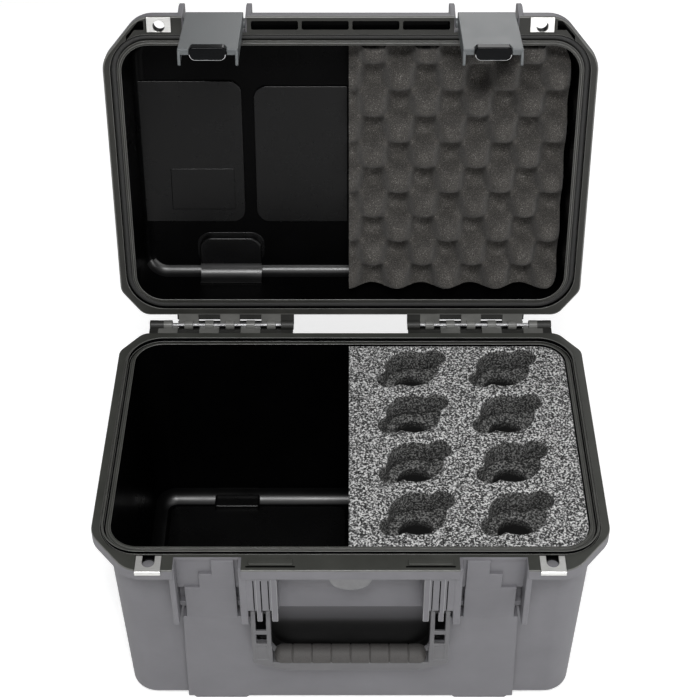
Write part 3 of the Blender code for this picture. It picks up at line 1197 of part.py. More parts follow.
def make_egg_crate():
    """A foam slab whose face rises in rows of rounded peaks, drawn face down in the lid."""
    ceiling = LID_RIM + LID_HEIGHT - WALL - TOUCH_GAP
    root = ceiling - CRATE_BACKING
    shoulder = ceiling - LID_CEILING_RADIUS
    peak = LID_RIM + CRATE_PEAK_DROP
    middle = (root + peak) / 2
    swing = (root - peak) / 2
    left, right = FOAM_INNER_END, OPENING_HALF - CRATE_END_MARGIN
    front = FRONT + CRATE_FRONT_MARGIN
    back = BACK - CRATE_BACK_MARGIN
    form = bmesh.new()
    columns, rows = CRATE_STEPS_X, CRATE_STEPS_Y
    field, roof = [], {}
    for row in range(rows + 1):
        y = front + (back - front) * row / rows
        line = []
        for column in range(columns + 1):
            x = left + (right - left) * column / columns
            v = BACK - y
            wave = (math.cos(2 * math.pi * (x - CRATE_PEAK_X) / CRATE_PITCH_X)
                    * math.cos(2 * math.pi * (v - CRATE_PEAK_V) / CRATE_PITCH_Y))
            corner_x = max(0, x - right + CRATE_CORNER)
            corner_y = max(0, CRATE_CORNER - min(y - front, back - y))
            over = math.hypot(corner_x, corner_y)
            if corner_x > 0 and corner_y > 0 and over > CRATE_CORNER:
                pull = CRATE_CORNER / over
                x = right - CRATE_CORNER + corner_x * pull
                edge = CRATE_CORNER - corner_y * pull
                y_here = front + edge if y - front < back - y else back - edge
            else:
                y_here = y
            line.append(form.verts.new((x, y_here, middle - swing * wave)))
            if row in (0, rows) or column in (0, columns):
                share = 1 - LID_CEILING_RADIUS / (right - left) * 2
                top = (left + (x - left) * share, OPENING_CENTRE + (y_here - OPENING_CENTRE) * share)
                roof[row, column] = (form.verts.new((x, y_here, shoulder)),
                                     form.verts.new((*top, ceiling)))
        field.append(line)
    for row in range(rows):
        for column in range(columns):
            form.faces.new((field[row][column], field[row][column + 1],
                            field[row + 1][column + 1], field[row + 1][column]))
    edge = ([(0, column) for column in range(columns)] + [(row, columns) for row in range(rows)]
            + [(rows, column) for column in range(columns, 0, -1)]
            + [(row, 0) for row in range(rows, 0, -1)])
    for here, after in zip(edge, edge[1:] + edge[:1]):
        form.faces.new((field[here[0]][here[1]], field[after[0]][after[1]],
                        roof[after][0], roof[here][0]))
        form.faces.new((roof[here][0], roof[after][0], roof[after][1], roof[here][1]))
    form.faces.new([roof[place][1] for place in edge])
    bmesh.ops.recalc_face_normals(form, faces=form.faces)
    data = bpy.data.meshes.new("egg_crate_foam")
    form.to_mesh(data)
    form.free()
    return new_object("egg_crate_foam", data)


def main():
    for thing in list(bpy.data.objects):
        bpy.data.objects.remove(thing)
    moulding = material("moulding", (0.17, 0.17, 0.18), 0.5)
    latch_plastic = material("latch_plastic", (0.15, 0.165, 0.175), 0.45)
    gloss_black = material("gloss_black", (0.012, 0.012, 0.013), 0.12)
    stainless = material("stainless", (0.62, 0.62, 0.61), 0.28, 1.0)
    pin_steel = material("pin_steel", (0.45, 0.45, 0.46), 0.35, 1.0)
    grip_rubber = material("grip_rubber", (0.05, 0.05, 0.053), 0.75)
    seal_rubber = material("seal_rubber", (0.02, 0.02, 0.02), 0.8)
    crate_foam = material("crate_foam", (0.06, 0.058, 0.055), 0.95)
    block_foam = material("block_foam", (0.10, 0.10, 0.10), 0.95)
    badge_finish = material("badge_finish", (0.25, 0.25, 0.26), 0.4)
    smooth = math.radians(35)

    finish(make_base(), moulding, smooth=smooth)
    upper, core = make_mic_foams()
    finish(upper, block_foam, smooth=smooth)
    finish(core, block_foam, smooth=smooth)
    finish(make_badge(), badge_finish, smooth=smooth)

    lid_pivot = pivot_empty("lid_joint", Vector((0, HINGE_Y, HINGE_Z)), turn=-LID_OPEN_ANGLE)
    finish(make_lid(), moulding, lid_pivot, smooth)
    finish(make_seal(), seal_rubber, lid_pivot, smooth)
    finish(make_egg_crate(), crate_foam, lid_pivot, math.radians(80))
    handle_joint = pivot_empty("handle_joint", handle_pivot())
    finish(make_handle(), latch_plastic, handle_joint, smooth)
    finish(make_grip(), grip_rubber, handle_joint, smooth)

    for side, word in ((-1, "left"), (1, "right")):
        plate = finish(make_lock_plate(side, "base"), stainless, smooth=smooth)
        plate.name = "padlock_plate_base_" + word
        plate = finish(make_lock_plate(side, "lid"), stainless, lid_pivot, smooth)
        plate.name = "padlock_plate_lid_" + word
        ends = both_sides(HINGE_INNER_END + HINGE_KNUCKLE_GAP,
                          HINGE_OUTER_END - HINGE_PIN_INSET - TOUCH_GAP, side)
        pin = finish(rod("hinge_pin_" + word, *ends, HINGE_Y, HINGE_Z, HINGE_PIN_RADIUS), pin_steel,
                     smooth=smooth)
        ends = both_sides(BRACKET_INNER_END + HANDLE_PIN_INSET,
                          LATCH_CENTRE - BAY_WIDTH / 2 - HANDLE_PIN_INSET, side)
        joint = handle_pivot()
        finish(rod("handle_pin_" + word, *ends, joint.y, joint.z, HANDLE_PIN_RADIUS), pin_steel,
               smooth=smooth)
        joint = latch_pivot(side)
        reach = BAY_WIDTH / 2 + BAY_RIB - HANDLE_PIN_INSET
        finish(rod("latch_pin_" + word, joint.x - reach, joint.x + reach, joint.y, joint.z,
                   LATCH_PIN_RADIUS), pin_steel, lid_pivot, smooth)
        latch_joint = pivot_empty("latch_joint_" + word, joint, lid_pivot)
        latch = finish(make_latch(side), latch_plastic, latch_joint, smooth)
        latch.name = "latch_" + word
        pin = finish(make_trigger_pin(side), pin_steel, latch_joint, smooth)
        pin.name = "trigger_pin_" + word
        coil = finish(make_spring(side), pin_steel, latch_joint, smooth)
        coil.name = "trigger_spring_" + word
        trigger_joint = pivot_empty("trigger_joint_" + word, leaned(trigger_pivot(side), side),
                                    latch_joint)
        trigger = finish(make_trigger(side), gloss_black, trigger_joint, smooth)
        trigger.name = "trigger_" + word
    bpy.context.view_layer.update()


main()
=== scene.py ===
import json
import math

import bmesh
import bpy
from mathutils import Matrix, Vector


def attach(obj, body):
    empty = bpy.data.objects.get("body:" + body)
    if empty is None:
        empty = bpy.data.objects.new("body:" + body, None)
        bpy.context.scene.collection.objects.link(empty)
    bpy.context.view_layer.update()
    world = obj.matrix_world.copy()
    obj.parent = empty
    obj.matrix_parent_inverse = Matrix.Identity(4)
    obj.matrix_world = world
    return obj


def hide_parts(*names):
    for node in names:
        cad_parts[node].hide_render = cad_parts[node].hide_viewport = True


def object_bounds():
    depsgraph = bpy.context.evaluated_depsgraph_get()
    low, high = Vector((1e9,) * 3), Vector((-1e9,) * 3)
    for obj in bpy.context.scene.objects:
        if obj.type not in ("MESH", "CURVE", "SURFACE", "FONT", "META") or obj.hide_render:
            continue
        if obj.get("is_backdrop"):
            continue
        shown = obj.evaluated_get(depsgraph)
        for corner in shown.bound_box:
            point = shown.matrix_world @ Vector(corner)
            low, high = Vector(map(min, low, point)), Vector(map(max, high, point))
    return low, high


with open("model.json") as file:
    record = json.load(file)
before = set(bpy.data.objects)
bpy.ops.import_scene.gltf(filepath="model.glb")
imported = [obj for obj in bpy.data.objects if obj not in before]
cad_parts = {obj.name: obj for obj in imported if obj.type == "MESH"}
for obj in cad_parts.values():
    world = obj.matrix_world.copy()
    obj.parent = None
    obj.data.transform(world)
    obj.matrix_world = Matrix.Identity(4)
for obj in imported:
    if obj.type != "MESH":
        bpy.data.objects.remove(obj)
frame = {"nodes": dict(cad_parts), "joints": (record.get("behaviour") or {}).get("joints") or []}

cad_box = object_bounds()

# Deep lower half of the case: one injection moulding in tough polypropylene, drafted so that it
# leaves the mould. A flange with a turned-down skirt stiffens the rim, and inside it run a lip, a
# groove and the raised tongue that the lid's gasket closes on.
FLANGE_LENGTH = 0.454
FLANGE_DEPTH = 0.307
SKIRT_HEIGHT = 0.012
SKIRT_THICKNESS = 0.003
LAND_THICKNESS = 0.004
FLANGE_EDGE = 0.0015
FRONT_CUT_X, FRONT_CUT_Y, FRONT_CUT_RADIUS = 0.035, 0.042, 0.028
BACK_CUT_X, BACK_CUT_Y, BACK_CUT_RADIUS = 0.021, 0.027, 0.014
OPENING_LENGTH = 0.420
OPENING_RADIUS = 0.026
WALL = 0.0038
BASE_HEIGHT = 0.216
BASE_END_DRAFT = 0.005
BASE_FRONT_DRAFT = 0.008
BASE_BOTTOM_RADIUS = 0.0045
BASE_FLOOR_RADIUS = 0.014
FOOT_HEIGHT = 0.0035
RIM = FOOT_HEIGHT + BASE_HEIGHT
HALF = FLANGE_LENGTH / 2
FRONT, BACK = -FLANGE_DEPTH / 2, FLANGE_DEPTH / 2
RIM_DEPTH_FRONT, RIM_DEPTH_BACK = 0.0274, 0.0175
OPENING_FRONT = FRONT + RIM_DEPTH_FRONT
OPENING_BACK = BACK - RIM_DEPTH_BACK
LIP_WIDTH = 0.002
RIM_STEP = 0.0012
GROOVE_START = 0.0042
GROOVE_DEPTH = 0.0022
TONGUE_START = 0.0065
TONGUE_END = 0.0079
TONGUE_HEIGHT = 0.0026
LAND_START = 0.0094
CORNER_STEPS = 8
EDGE_SOFTNESS = 0.0004


def new_finish(name):
    """A material with its shader and the place on the piece, ready for nodes."""
    look = bpy.data.materials.new(name)
    look.use_nodes = True
    tree = look.node_tree
    place = tree.nodes.new("ShaderNodeTexCoord").outputs["Object"]
    return look, tree, tree.nodes["Principled BSDF"], place


def node(tree, kind, settings=None, **sockets):
    """A node whose sockets take a value or another node's output; _ stands for a space."""
    made = tree.nodes.new(kind)
    for key, value in (settings or {}).items():
        setattr(made, key, value)
    for key, value in sockets.items():
        socket = made.inputs[key.replace("_", " ")]
        if isinstance(value, bpy.types.NodeSocket):
            tree.links.new(value, socket)
        else:
            socket.default_value = value
    return made


def ramp(tree, value, stops):
    """Turns a value into a colour through the given stops."""
    made = node(tree, "ShaderNodeValToRGB", Fac=value)
    band = made.color_ramp
    while len(band.elements) < len(stops):
        band.elements.new(0.5)
    for element, (at, colour) in zip(band.elements, stops):
        element.position = at
        element.color = (*colour, 1.0)
    return made.outputs["Color"]


def span(tree, value, low, high, to_low, to_high):
    made = node(tree, "ShaderNodeMapRange", Value=value, From_Min=low, From_Max=high,
                To_Min=to_low, To_Max=to_high)
    return made.outputs["Result"]


def tune(shader, **sockets):
    """Sets plain values of a shader; _ stands for a space."""
    for key, value in sockets.items():
        shader.inputs[key.replace("_", " ")].default_value = value


def speckle(tree, place, scale, detail, roughness=0.5):
    """Noise between 0 and 1 at each place."""
    return node(tree, "ShaderNodeTexNoise", Vector=place, Scale=scale, Detail=detail,
                Roughness=roughness).outputs["Fac"]


def pebbled(tree, shader, height, relief, strength):
    """Fine relief from a value."""
    bump = node(tree, "ShaderNodeBump", Height=height, Distance=relief, Strength=strength)
    tree.links.new(bump.outputs["Normal"], shader.inputs["Normal"])


def moulded(name, dark, light, roughness, patch, grain, relief, shine=0.5, coat=0.0):
    """Moulded plastic: two close shades in soft patches, uneven gloss and a fine pebbled skin."""
    look, tree, shader, place = new_finish(name)
    drift = speckle(tree, place, 1 / patch, 5.0, 0.62)
    tree.links.new(ramp(tree, drift, ((0.3, dark), (0.7, light))), shader.inputs["Base Color"])
    tree.links.new(span(tree, drift, 0.3, 0.7, roughness - 0.05, roughness + 0.05),
                   shader.inputs["Roughness"])
    pebble = speckle(tree, place, 1 / grain, 2.0, 0.55)
    pebbled(tree, shader, pebble, relief, 0.8)
    tune(shader, Specular_IOR_Level=shine, Coat_Weight=coat, Coat_Roughness=0.12)
    look.diffuse_color = (*light, 1.0)
    return look


# The whole case is one plastic: this grey is its look outside, and the near-black finishes below
# are darker copies of it, painted shade.
outer_grey = moulded("outer_grey", (0.130, 0.128, 0.139), (0.158, 0.156, 0.168), 0.50, 0.045,
                     0.0007, 0.00006)
# Painted highlight: a lighter copy of the grey for rounded edges.
outer_edge_highlight = moulded("outer_edge_highlight", (0.21, 0.21, 0.216), (0.27, 0.27, 0.276), 0.42, 0.020,
                     0.0007, 0.00003)
rim_dark = moulded("rim_dark", (0.030, 0.031, 0.027), (0.042, 0.043, 0.038), 0.44, 0.030,
                   0.0007, 0.00004, 0.35)
# Painted highlight: a lighter copy of the rim's finish for its ridges and rounded edges.
rim_edge_highlight = moulded("rim_edge_highlight", (0.085, 0.085, 0.080), (0.125, 0.125, 0.118), 0.34, 0.020,
                   0.0007, 0.00002)
# Painted shade: a near-black copy of the plastic for the inside's fields and floor forms and for
# the pockets behind the handle's arms.
inner_shade_black = moulded("inner_shade_black", (0.0012, 0.0012, 0.0013), (0.0026, 0.0026, 0.0028), 0.27,
                      0.060, 0.0011, 0.00004, 0.22)
# Painted highlight: a lighter copy of the inside's black for the raised edges of the fields and the
# bulge.
black_edge_highlight = moulded("black_edge_highlight", (0.085, 0.083, 0.082), (0.125, 0.123, 0.122), 0.30, 0.030,
                     0.0011, 0.00003, 0.9)
# Painted shade: a still darker copy for the inside walls, floor and ceiling and for holes, bores,
# grooves and pockets.
deep_shade_black = moulded("deep_shade_black", (0.0006, 0.0006, 0.0007), (0.0012, 0.0012, 0.0013), 0.30, 0.060,
                     0.0011, 0.00004, 0.04)
# The same near-black painted shade, only rougher and glossier, for the inside's fillets.
black_fillet = moulded("black_fillet", (0.0012, 0.0012, 0.0013), (0.0026, 0.0026, 0.0028), 0.34,
                       0.060, 0.0011, 0.00004, 0.62)
SHELL_SKINS = (outer_grey, outer_edge_highlight, rim_dark, rim_edge_highlight, deep_shade_black, black_fillet)
# EDGE and RIM_EDGE index painted highlights, BLACK painted shade and FILLET its glossier copy.
GREY, EDGE, RIM_SKIN, RIM_EDGE, BLACK, FILLET = range(6)


def quarter(steps):
    """Sine and cosine at even steps through a right angle."""
    return [(math.sin(math.pi / 2 * step / steps), math.cos(math.pi / 2 * step / steps))
            for step in range(steps + 1)]


def fillet(corner, way_in, way_out, radius, steps):
    """Points of the arc that rounds a corner of an outline that turns left."""
    turn = math.atan2(way_in[0] * way_out[1] - way_in[1] * way_out[0],
                      way_in[0] * way_out[0] + way_in[1] * way_out[1])
    tangent = radius * math.tan(turn / 2)
    centre = (corner[0] - way_in[0] * tangent - way_in[1] * radius,
              corner[1] - way_in[1] * tangent + way_in[0] * radius)
    arm = (way_in[1] * radius, -way_in[0] * radius)
    points = []
    for step in range(steps + 1):
        angle = turn * step / steps
        points.append((centre[0] + arm[0] * math.cos(angle) - arm[1] * math.sin(angle),
                       centre[1] + arm[0] * math.sin(angle) + arm[1] * math.cos(angle)))
    return points


def rounded(left, right, low, high, radius, steps=CORNER_STEPS):
    """A rounded rectangle, anticlockwise."""
    return (fillet((right, low), (1, 0), (0, 1), radius, steps)
            + fillet((right, high), (0, 1), (-1, 0), radius, steps)
            + fillet((left, high), (-1, 0), (0, -1), radius, steps)
            + fillet((left, low), (0, -1), (1, 0), radius, steps))


def cut_corner(corner, way_in, way_out, cut_in, cut_out, radius):
    """A corner cut off by a slanting edge whose two ends are rounded."""
    first = (corner[0] - way_in[0] * cut_in, corner[1] - way_in[1] * cut_in)
    second = (corner[0] + way_out[0] * cut_out, corner[1] + way_out[1] * cut_out)
    length = math.hypot(second[0] - first[0], second[1] - first[1])
    slant = ((second[0] - first[0]) / length, (second[1] - first[1]) / length)
    return (fillet(first, way_in, slant, radius, CORNER_STEPS)
            + fillet(second, slant, way_out, radius, CORNER_STEPS))


def flange_outline(inset):
    """The flange's outline, with its cut corners, moved in by a distance."""
    half, front, back = HALF - inset, FRONT + inset, BACK - inset
    cuts = []
    for cut_x, cut_y in ((FRONT_CUT_X, FRONT_CUT_Y), (BACK_CUT_X, BACK_CUT_Y)):
        share = 1 - inset * (cut_x + cut_y - math.hypot(cut_x, cut_y)) / (cut_x * cut_y)
        cuts.append((cut_x * share, cut_y * share))
    (front_x, front_y), (back_x, back_y) = cuts
    near, far = FRONT_CUT_RADIUS - inset, BACK_CUT_RADIUS - inset
    return (cut_corner((half, front), (1, 0), (0, 1), front_x, front_y, near)
            + cut_corner((half, back), (0, 1), (-1, 0), back_y, back_x, far)
            + cut_corner((-half, back), (-1, 0), (0, -1), back_x, back_y, far)
            + cut_corner((-half, front), (0, -1), (1, 0), front_y, front_x, near))


def opening_outline(offset, end_draft=0.0, front_draft=0.0):
    """The opening's outline moved out by a distance and in by the walls' draft."""
    half = OPENING_LENGTH / 2
    return rounded(-half - offset + end_draft, half + offset - end_draft,
                   OPENING_FRONT - offset + front_draft, OPENING_BACK + offset - front_draft,
                   OPENING_RADIUS + offset - end_draft, 2 * CORNER_STEPS + 1)


def at_height(outline, z):
    return [(x, y, z) for x, y in outline]


def new_piece(name, form):
    """A mesh object from a bmesh, its faces turned outwards."""
    bmesh.ops.recalc_face_normals(form, faces=form.faces)
    data = bpy.data.meshes.new(name)
    form.to_mesh(data)
    form.free()
    made = bpy.data.objects.new(name, data)
    bpy.context.scene.collection.objects.link(made)
    return made


def loft(loops, skins=None, name="part"):
    """A closed solid through rings of equal count; skins gives each band's finish."""
    form = bmesh.new()
    rings = [[form.verts.new(point) for point in loop] for loop in loops]
    count = len(rings[0])
    for level, (lower, upper) in enumerate(zip(rings, rings[1:])):
        for here in range(count):
            after = (here + 1) % count
            face = form.faces.new((lower[here], lower[after], upper[after], upper[here]))
            face.material_index = skins[level + 1] if skins else 0
    form.faces.new(list(reversed(rings[0]))).material_index = skins[0] if skins else 0
    form.faces.new(rings[-1]).material_index = skins[-1] if skins else 0
    return new_piece(name, form)


PLANES = {"XY": lambda a, b, c: (a, b, c), "XZ": lambda a, b, c: (a, c, b),
          "YZ": lambda a, b, c: (c, a, b)}


def prism(outline, low, high, plane="XY"):
    """An outline drawn in one plane and carried between two places on the third axis."""
    return loft([[PLANES[plane](a, b, level) for a, b in outline] for level in (low, high)])


def block(low, high):
    return prism([(low[0], low[1]), (high[0], low[1]), (high[0], high[1]), (low[0], high[1])],
                 low[2], high[2])


def circle(centre, radius, steps=32):
    return [(centre[0] + radius * math.cos(2 * math.pi * step / steps),
             centre[1] + radius * math.sin(2 * math.pi * step / steps)) for step in range(steps)]


def rod(low, high, y, z, radius, steps=32):
    """A round bar along X."""
    return prism(circle((y, z), radius, steps), low, high, "YZ")


def settle_mesh(piece):
    """Turns a piece's modifiers into its own mesh."""
    bpy.context.view_layer.update()
    graph = bpy.context.evaluated_depsgraph_get()
    result = bpy.data.meshes.new_from_object(piece.evaluated_get(graph))
    piece.modifiers.clear()
    piece.data = result
    return piece


def cut(piece, tools):
    """Cuts tools from a piece, one after another, and drops them."""
    for tool in tools:
        step = piece.modifiers.new("cut", "BOOLEAN")
        step.operation = "DIFFERENCE"
        step.object = tool
        step.solver = "EXACT"
        step.material_mode = "TRANSFER" if tool.data.materials else "INDEX"
        settle_mesh(piece)
        bpy.data.objects.remove(tool)
    return piece


def soften(piece, width=EDGE_SOFTNESS, steps=2, skin=None):
    """Rounds the sharp edges, with a finish of their own where one is given."""
    step = piece.modifiers.new("soften", "BEVEL")
    step.width = width
    step.segments = steps
    step.limit_method = "ANGLE"
    step.angle_limit = math.radians(33)
    step.miter_outer = "MITER_ARC"
    if skin is not None:
        step.material = skin
    return settle_mesh(piece)


def edged(piece, width, steps=2):
    """Rounds the sharp edges in the second of the piece's finishes."""
    return soften(piece, width, steps, EDGE)


def finished(piece, *looks):
    """Gives a piece its finishes."""
    for look in looks:
        piece.data.materials.append(look)
    return piece


def gather(name, parts):
    """Several closed parts of one moulding as one object."""
    form = bmesh.new()
    for part in parts:
        form.from_mesh(part.data)
        bpy.data.objects.remove(part)
    return new_piece(name, form)


def both_sides(low, high, side):
    """A span of X on one side of the middle plane."""
    return (low, high) if side > 0 else (-high, -low)


def around(centre, width, side, margin=0):
    """The span of X that a width takes round a centre on one side of the middle plane."""
    return both_sides(centre - width / 2 - margin, centre + width / 2 + margin, side)


def put_on(piece, body, skins, place=None, sharp=50, weighted=True):
    """Gives a piece its finishes and place, shades it and lets it ride on its body."""
    if not piece.data.materials:
        finished(piece, *skins)
    if place is not None:
        piece.data.transform(place)
    piece.data.shade_smooth()
    piece.data.set_sharp_from_angle(angle=math.radians(sharp))
    if weighted:
        step = piece.modifiers.new("normals", "WEIGHTED_NORMAL")
        step.keep_sharp = True
        settle_mesh(piece)
    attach(piece, body)
    return piece


def shell_of(rings):
    """A shell lofted through rings that each give an outline, a height and a finish."""
    return loft([at_height(outline, z) for outline, z, _ in rings], [skin for _, _, skin in rings])


def base_moulding():
    """Floor, drafted walls, flange channel, rim ridges and inner walls, ring by ring."""
    rings = []
    for sine, cosine in quarter(CORNER_STEPS):
        outline = opening_outline(WALL - BASE_BOTTOM_RADIUS * (1 - sine), BASE_END_DRAFT,
                                  BASE_FRONT_DRAFT)
        rings.append((outline, FOOT_HEIGHT + BASE_BOTTOM_RADIUS * (1 - cosine), GREY))
    rings.append((opening_outline(WALL), RIM - LAND_THICKNESS, GREY))
    for inset, drop in ((SKIRT_THICKNESS, LAND_THICKNESS), (SKIRT_THICKNESS, SKIRT_HEIGHT),
                        (0, SKIRT_HEIGHT), (0, FLANGE_EDGE)):
        rings.append((flange_outline(inset), RIM - drop, GREY))
    for (sine, cosine), skin in zip(quarter(3)[1:], (RIM_EDGE, RIM_EDGE, RIM_SKIN)):
        rings.append((flange_outline(FLANGE_EDGE * (1 - cosine)), RIM - FLANGE_EDGE * (1 - sine),
                      skin))
    for offset, rise in ((LAND_START, 0), (LAND_START, -RIM_STEP), (TONGUE_END, -RIM_STEP),
                         (TONGUE_END, TONGUE_HEIGHT), (TONGUE_START, TONGUE_HEIGHT),
                         (TONGUE_START, -GROOVE_DEPTH), (GROOVE_START, -GROOVE_DEPTH),
                         (GROOVE_START, -RIM_STEP), (LIP_WIDTH, -RIM_STEP), (LIP_WIDTH, 0), (0, 0)):
        # The groove's walls and floor take the near-black finish: painted shade.
        dark = offset == GROOVE_START or rise == -GROOVE_DEPTH or offset == TONGUE_END
        skin = BLACK if dark else RIM_SKIN
        rings.append((opening_outline(offset), RIM + rise, skin))
    # The inside walls and floor take the near-black finish, painted shade, with the glossier copy
    # on the fillet.
    for step, (sine, cosine) in enumerate(quarter(CORNER_STEPS)):
        outline = opening_outline(-BASE_FLOOR_RADIUS * (1 - cosine), BASE_END_DRAFT,
                                  BASE_FRONT_DRAFT)
        rings.append((outline, FOOT_HEIGHT + WALL + BASE_FLOOR_RADIUS * (1 - sine),
                      FILLET if 0 < step < CORNER_STEPS else BLACK))
    body = shell_of(rings)
    return soften(finished(body, *SHELL_SKINS), skin=RIM_EDGE)


BAY_CENTRE = 0.1229
BAY_WIDTH = 0.0564
BAY_CUT_MARGIN = 0.015
LOCK_CENTRE = 0.1732
LOCK_WIDTH = 0.022
LOCK_SHEET = 0.0015
LOCK_HOLE_RADIUS = 0.0054
LOCK_HOLE_MARGIN = 0.0095
LOCK_BASE_BACK = 0.017
GAP = 0.0003
OVERRUN = 0.002
SHARE = 0.001
POCKET_PITCH = 0.0457
BAR_CENTRE = 1.5 * POCKET_PITCH
BAR_GROOVE_LENGTH = 0.0425
BAR_GROOVE_MARGIN = 0.0036
BAR_GROOVE_WIDTH = 0.0017
# Black pockets on the wall and panel behind the handle's arms: painted shade.
ARM_SHADOW_START, ARM_SHADOW_END = 0.0695, 0.0935
ARM_SHADOW_DROP, ARM_SHADOW_FOOT_DROP = 0.058, 0.0815

base = base_moulding()
for side in (1, -1):
    low, high = around(BAY_CENTRE, BAY_WIDTH, side, SHARE)
    notch = block((low, FRONT - OVERRUN, RIM - SKIRT_HEIGHT - OVERRUN),
                  (high, FRONT + BAY_CUT_MARGIN, RIM + OVERRUN))
    low, high = around(LOCK_CENTRE, LOCK_WIDTH, side, GAP)
    seat = block((low, FRONT - OVERRUN, RIM - LOCK_SHEET - 2 * GAP),
                 (high, FRONT + LOCK_BASE_BACK + GAP, RIM + OVERRUN))
    hole = prism(circle((side * LOCK_CENTRE, FRONT + LOCK_HOLE_MARGIN), LOCK_HOLE_RADIUS + GAP),
                 RIM - SKIRT_HEIGHT, RIM + OVERRUN)
    # The padlock seats and holes are lined in near-black: painted shade.
    cut(base, [notch, finished(seat, deep_shade_black), finished(hole, deep_shade_black)])
# A thin black groove in front of each flange bar is the bar's painted shadow, and a shallow black
# pocket on the wall behind each pair of handle arms is painted shade.
for side in (1, -1):
    low, high = around(BAR_CENTRE, BAR_GROOVE_LENGTH, side)
    near = FRONT + BAR_GROOVE_MARGIN
    groove = block((low, near, RIM - SHARE), (high, near + BAR_GROOVE_WIDTH, RIM + OVERRUN))
    low, high = both_sides(ARM_SHADOW_START, ARM_SHADOW_END, side)
    hollow = block((low, OPENING_FRONT - WALL - OVERRUN, RIM - ARM_SHADOW_FOOT_DROP),
                   (high, OPENING_FRONT - WALL + BASE_FRONT_DRAFT / 2, RIM - ARM_SHADOW_DROP))
    cut(base, [finished(groove, deep_shade_black), finished(hollow, deep_shade_black)])
base.name = "base_moulding"
put_on(base, "base", SHELL_SKINS)
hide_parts("base_shell")

# Four low pads under the floor, moulded with the base, that it stands on. They stand flush with
# the front panel and with the back wall.
FOOT_INNER_END = 0.0965
FOOT_LENGTH = 0.0532
FOOT_DEPTH = 0.017
FOOT_RADIUS = 0.004
PANEL_FOOT_MARGIN = 0.0277

feet = []
for side in (1, -1):
    low, high = both_sides(FOOT_INNER_END, FOOT_INNER_END + FOOT_LENGTH, side)
    front = FRONT + PANEL_FOOT_MARGIN + SHARE / 2
    back = OPENING_BACK + WALL - BASE_FRONT_DRAFT - BASE_BOTTOM_RADIUS / 2
    for near in (front, back - FOOT_DEPTH):
        pad = prism(rounded(low, high, near, near + FOOT_DEPTH, FOOT_RADIUS), 0,
                    FOOT_HEIGHT + SHARE)
        feet.append(edged(pad, 0.0006))
put_on(gather("feet", feet), "base", (outer_grey, outer_edge_highlight))

# Floor of the open half, moulded in one with the base: a low raised field between the walls'
# fillets and the foam, a boss over the hollow of the back foot and a short pad with round ends.
FOAM_INNER_END = -0.0015
FLOOR_FIELD_RISE = 0.0012
FLOOR_FIELD_RADIUS = 0.009
FLOOR_FIELD_GAP = 0.004
BOSS_LEFT, BOSS_RIGHT = -0.1443, -0.0967
BOSS_FRONT = 0.1085
BOSS_RISE = 0.0062
FLOOR_PAD_LEFT, FLOOR_PAD_RIGHT = -0.1425, -0.1125
FLOOR_PAD_FRONT, FLOOR_PAD_BACK = 0.046, 0.067
FLOOR_PAD_RADIUS = 0.0095

floor = FOOT_HEIGHT + WALL
margin = BASE_FLOOR_RADIUS + SHARE
field = prism(rounded(BASE_END_DRAFT + margin - OPENING_LENGTH / 2,
                      FOAM_INNER_END - FLOOR_FIELD_GAP,
                      OPENING_FRONT + BASE_FRONT_DRAFT + margin,
                      OPENING_BACK - BASE_FRONT_DRAFT - margin, FLOOR_FIELD_RADIUS),
              floor - SHARE, floor + FLOOR_FIELD_RISE)
boss = block((BOSS_LEFT, BOSS_FRONT, floor - SHARE),
             (BOSS_RIGHT, OPENING_BACK - BASE_FRONT_DRAFT + SHARE, floor + BOSS_RISE))
pad = prism(rounded(FLOOR_PAD_LEFT, FLOOR_PAD_RIGHT, FLOOR_PAD_FRONT, FLOOR_PAD_BACK,
                    FLOOR_PAD_RADIUS),
            floor, floor + 2 * FLOOR_FIELD_RISE)
# The floor's forms take the inside's near-black: painted shade.
put_on(gather("floor_field", [soften(field, 0.0006, 3), soften(boss, 0.0024, 5),
                              soften(pad, 0.0009, 4)]), "base", (inner_shade_black,))

# Raised panel across the lower front, moulded in one with the wall and hollowed in the middle so
# that fingers reach behind the handle. Its ends show as creases that run down to the feet.
PANEL_HALF = 0.1543
PANEL_END_TAPER = 0.0051
PANEL_TOP_DROP = 0.080
PANEL_TOP_MARGIN = 0.0145
RECESS_HALF = 0.072
RECESS_BOTTOM_DROP = 0.139
RECESS_RADIUS = 0.024
ARM_SHADOW_END_DROP = 0.118
ARM_SHADOW_DEPTH = 0.007
SHADE_START_DROP, SHADE_END_DROP = 0.078, 0.108


def wall_front(z):
    """Y of the base's front wall, outside, at a height."""
    return OPENING_FRONT - WALL + BASE_FRONT_DRAFT * (RIM - z) / BASE_HEIGHT


def panel_front(z):
    fall = (RIM - PANEL_TOP_DROP - z) / (BASE_HEIGHT - PANEL_TOP_DROP)
    return FRONT + PANEL_TOP_MARGIN + (PANEL_FOOT_MARGIN - PANEL_TOP_MARGIN) * fall


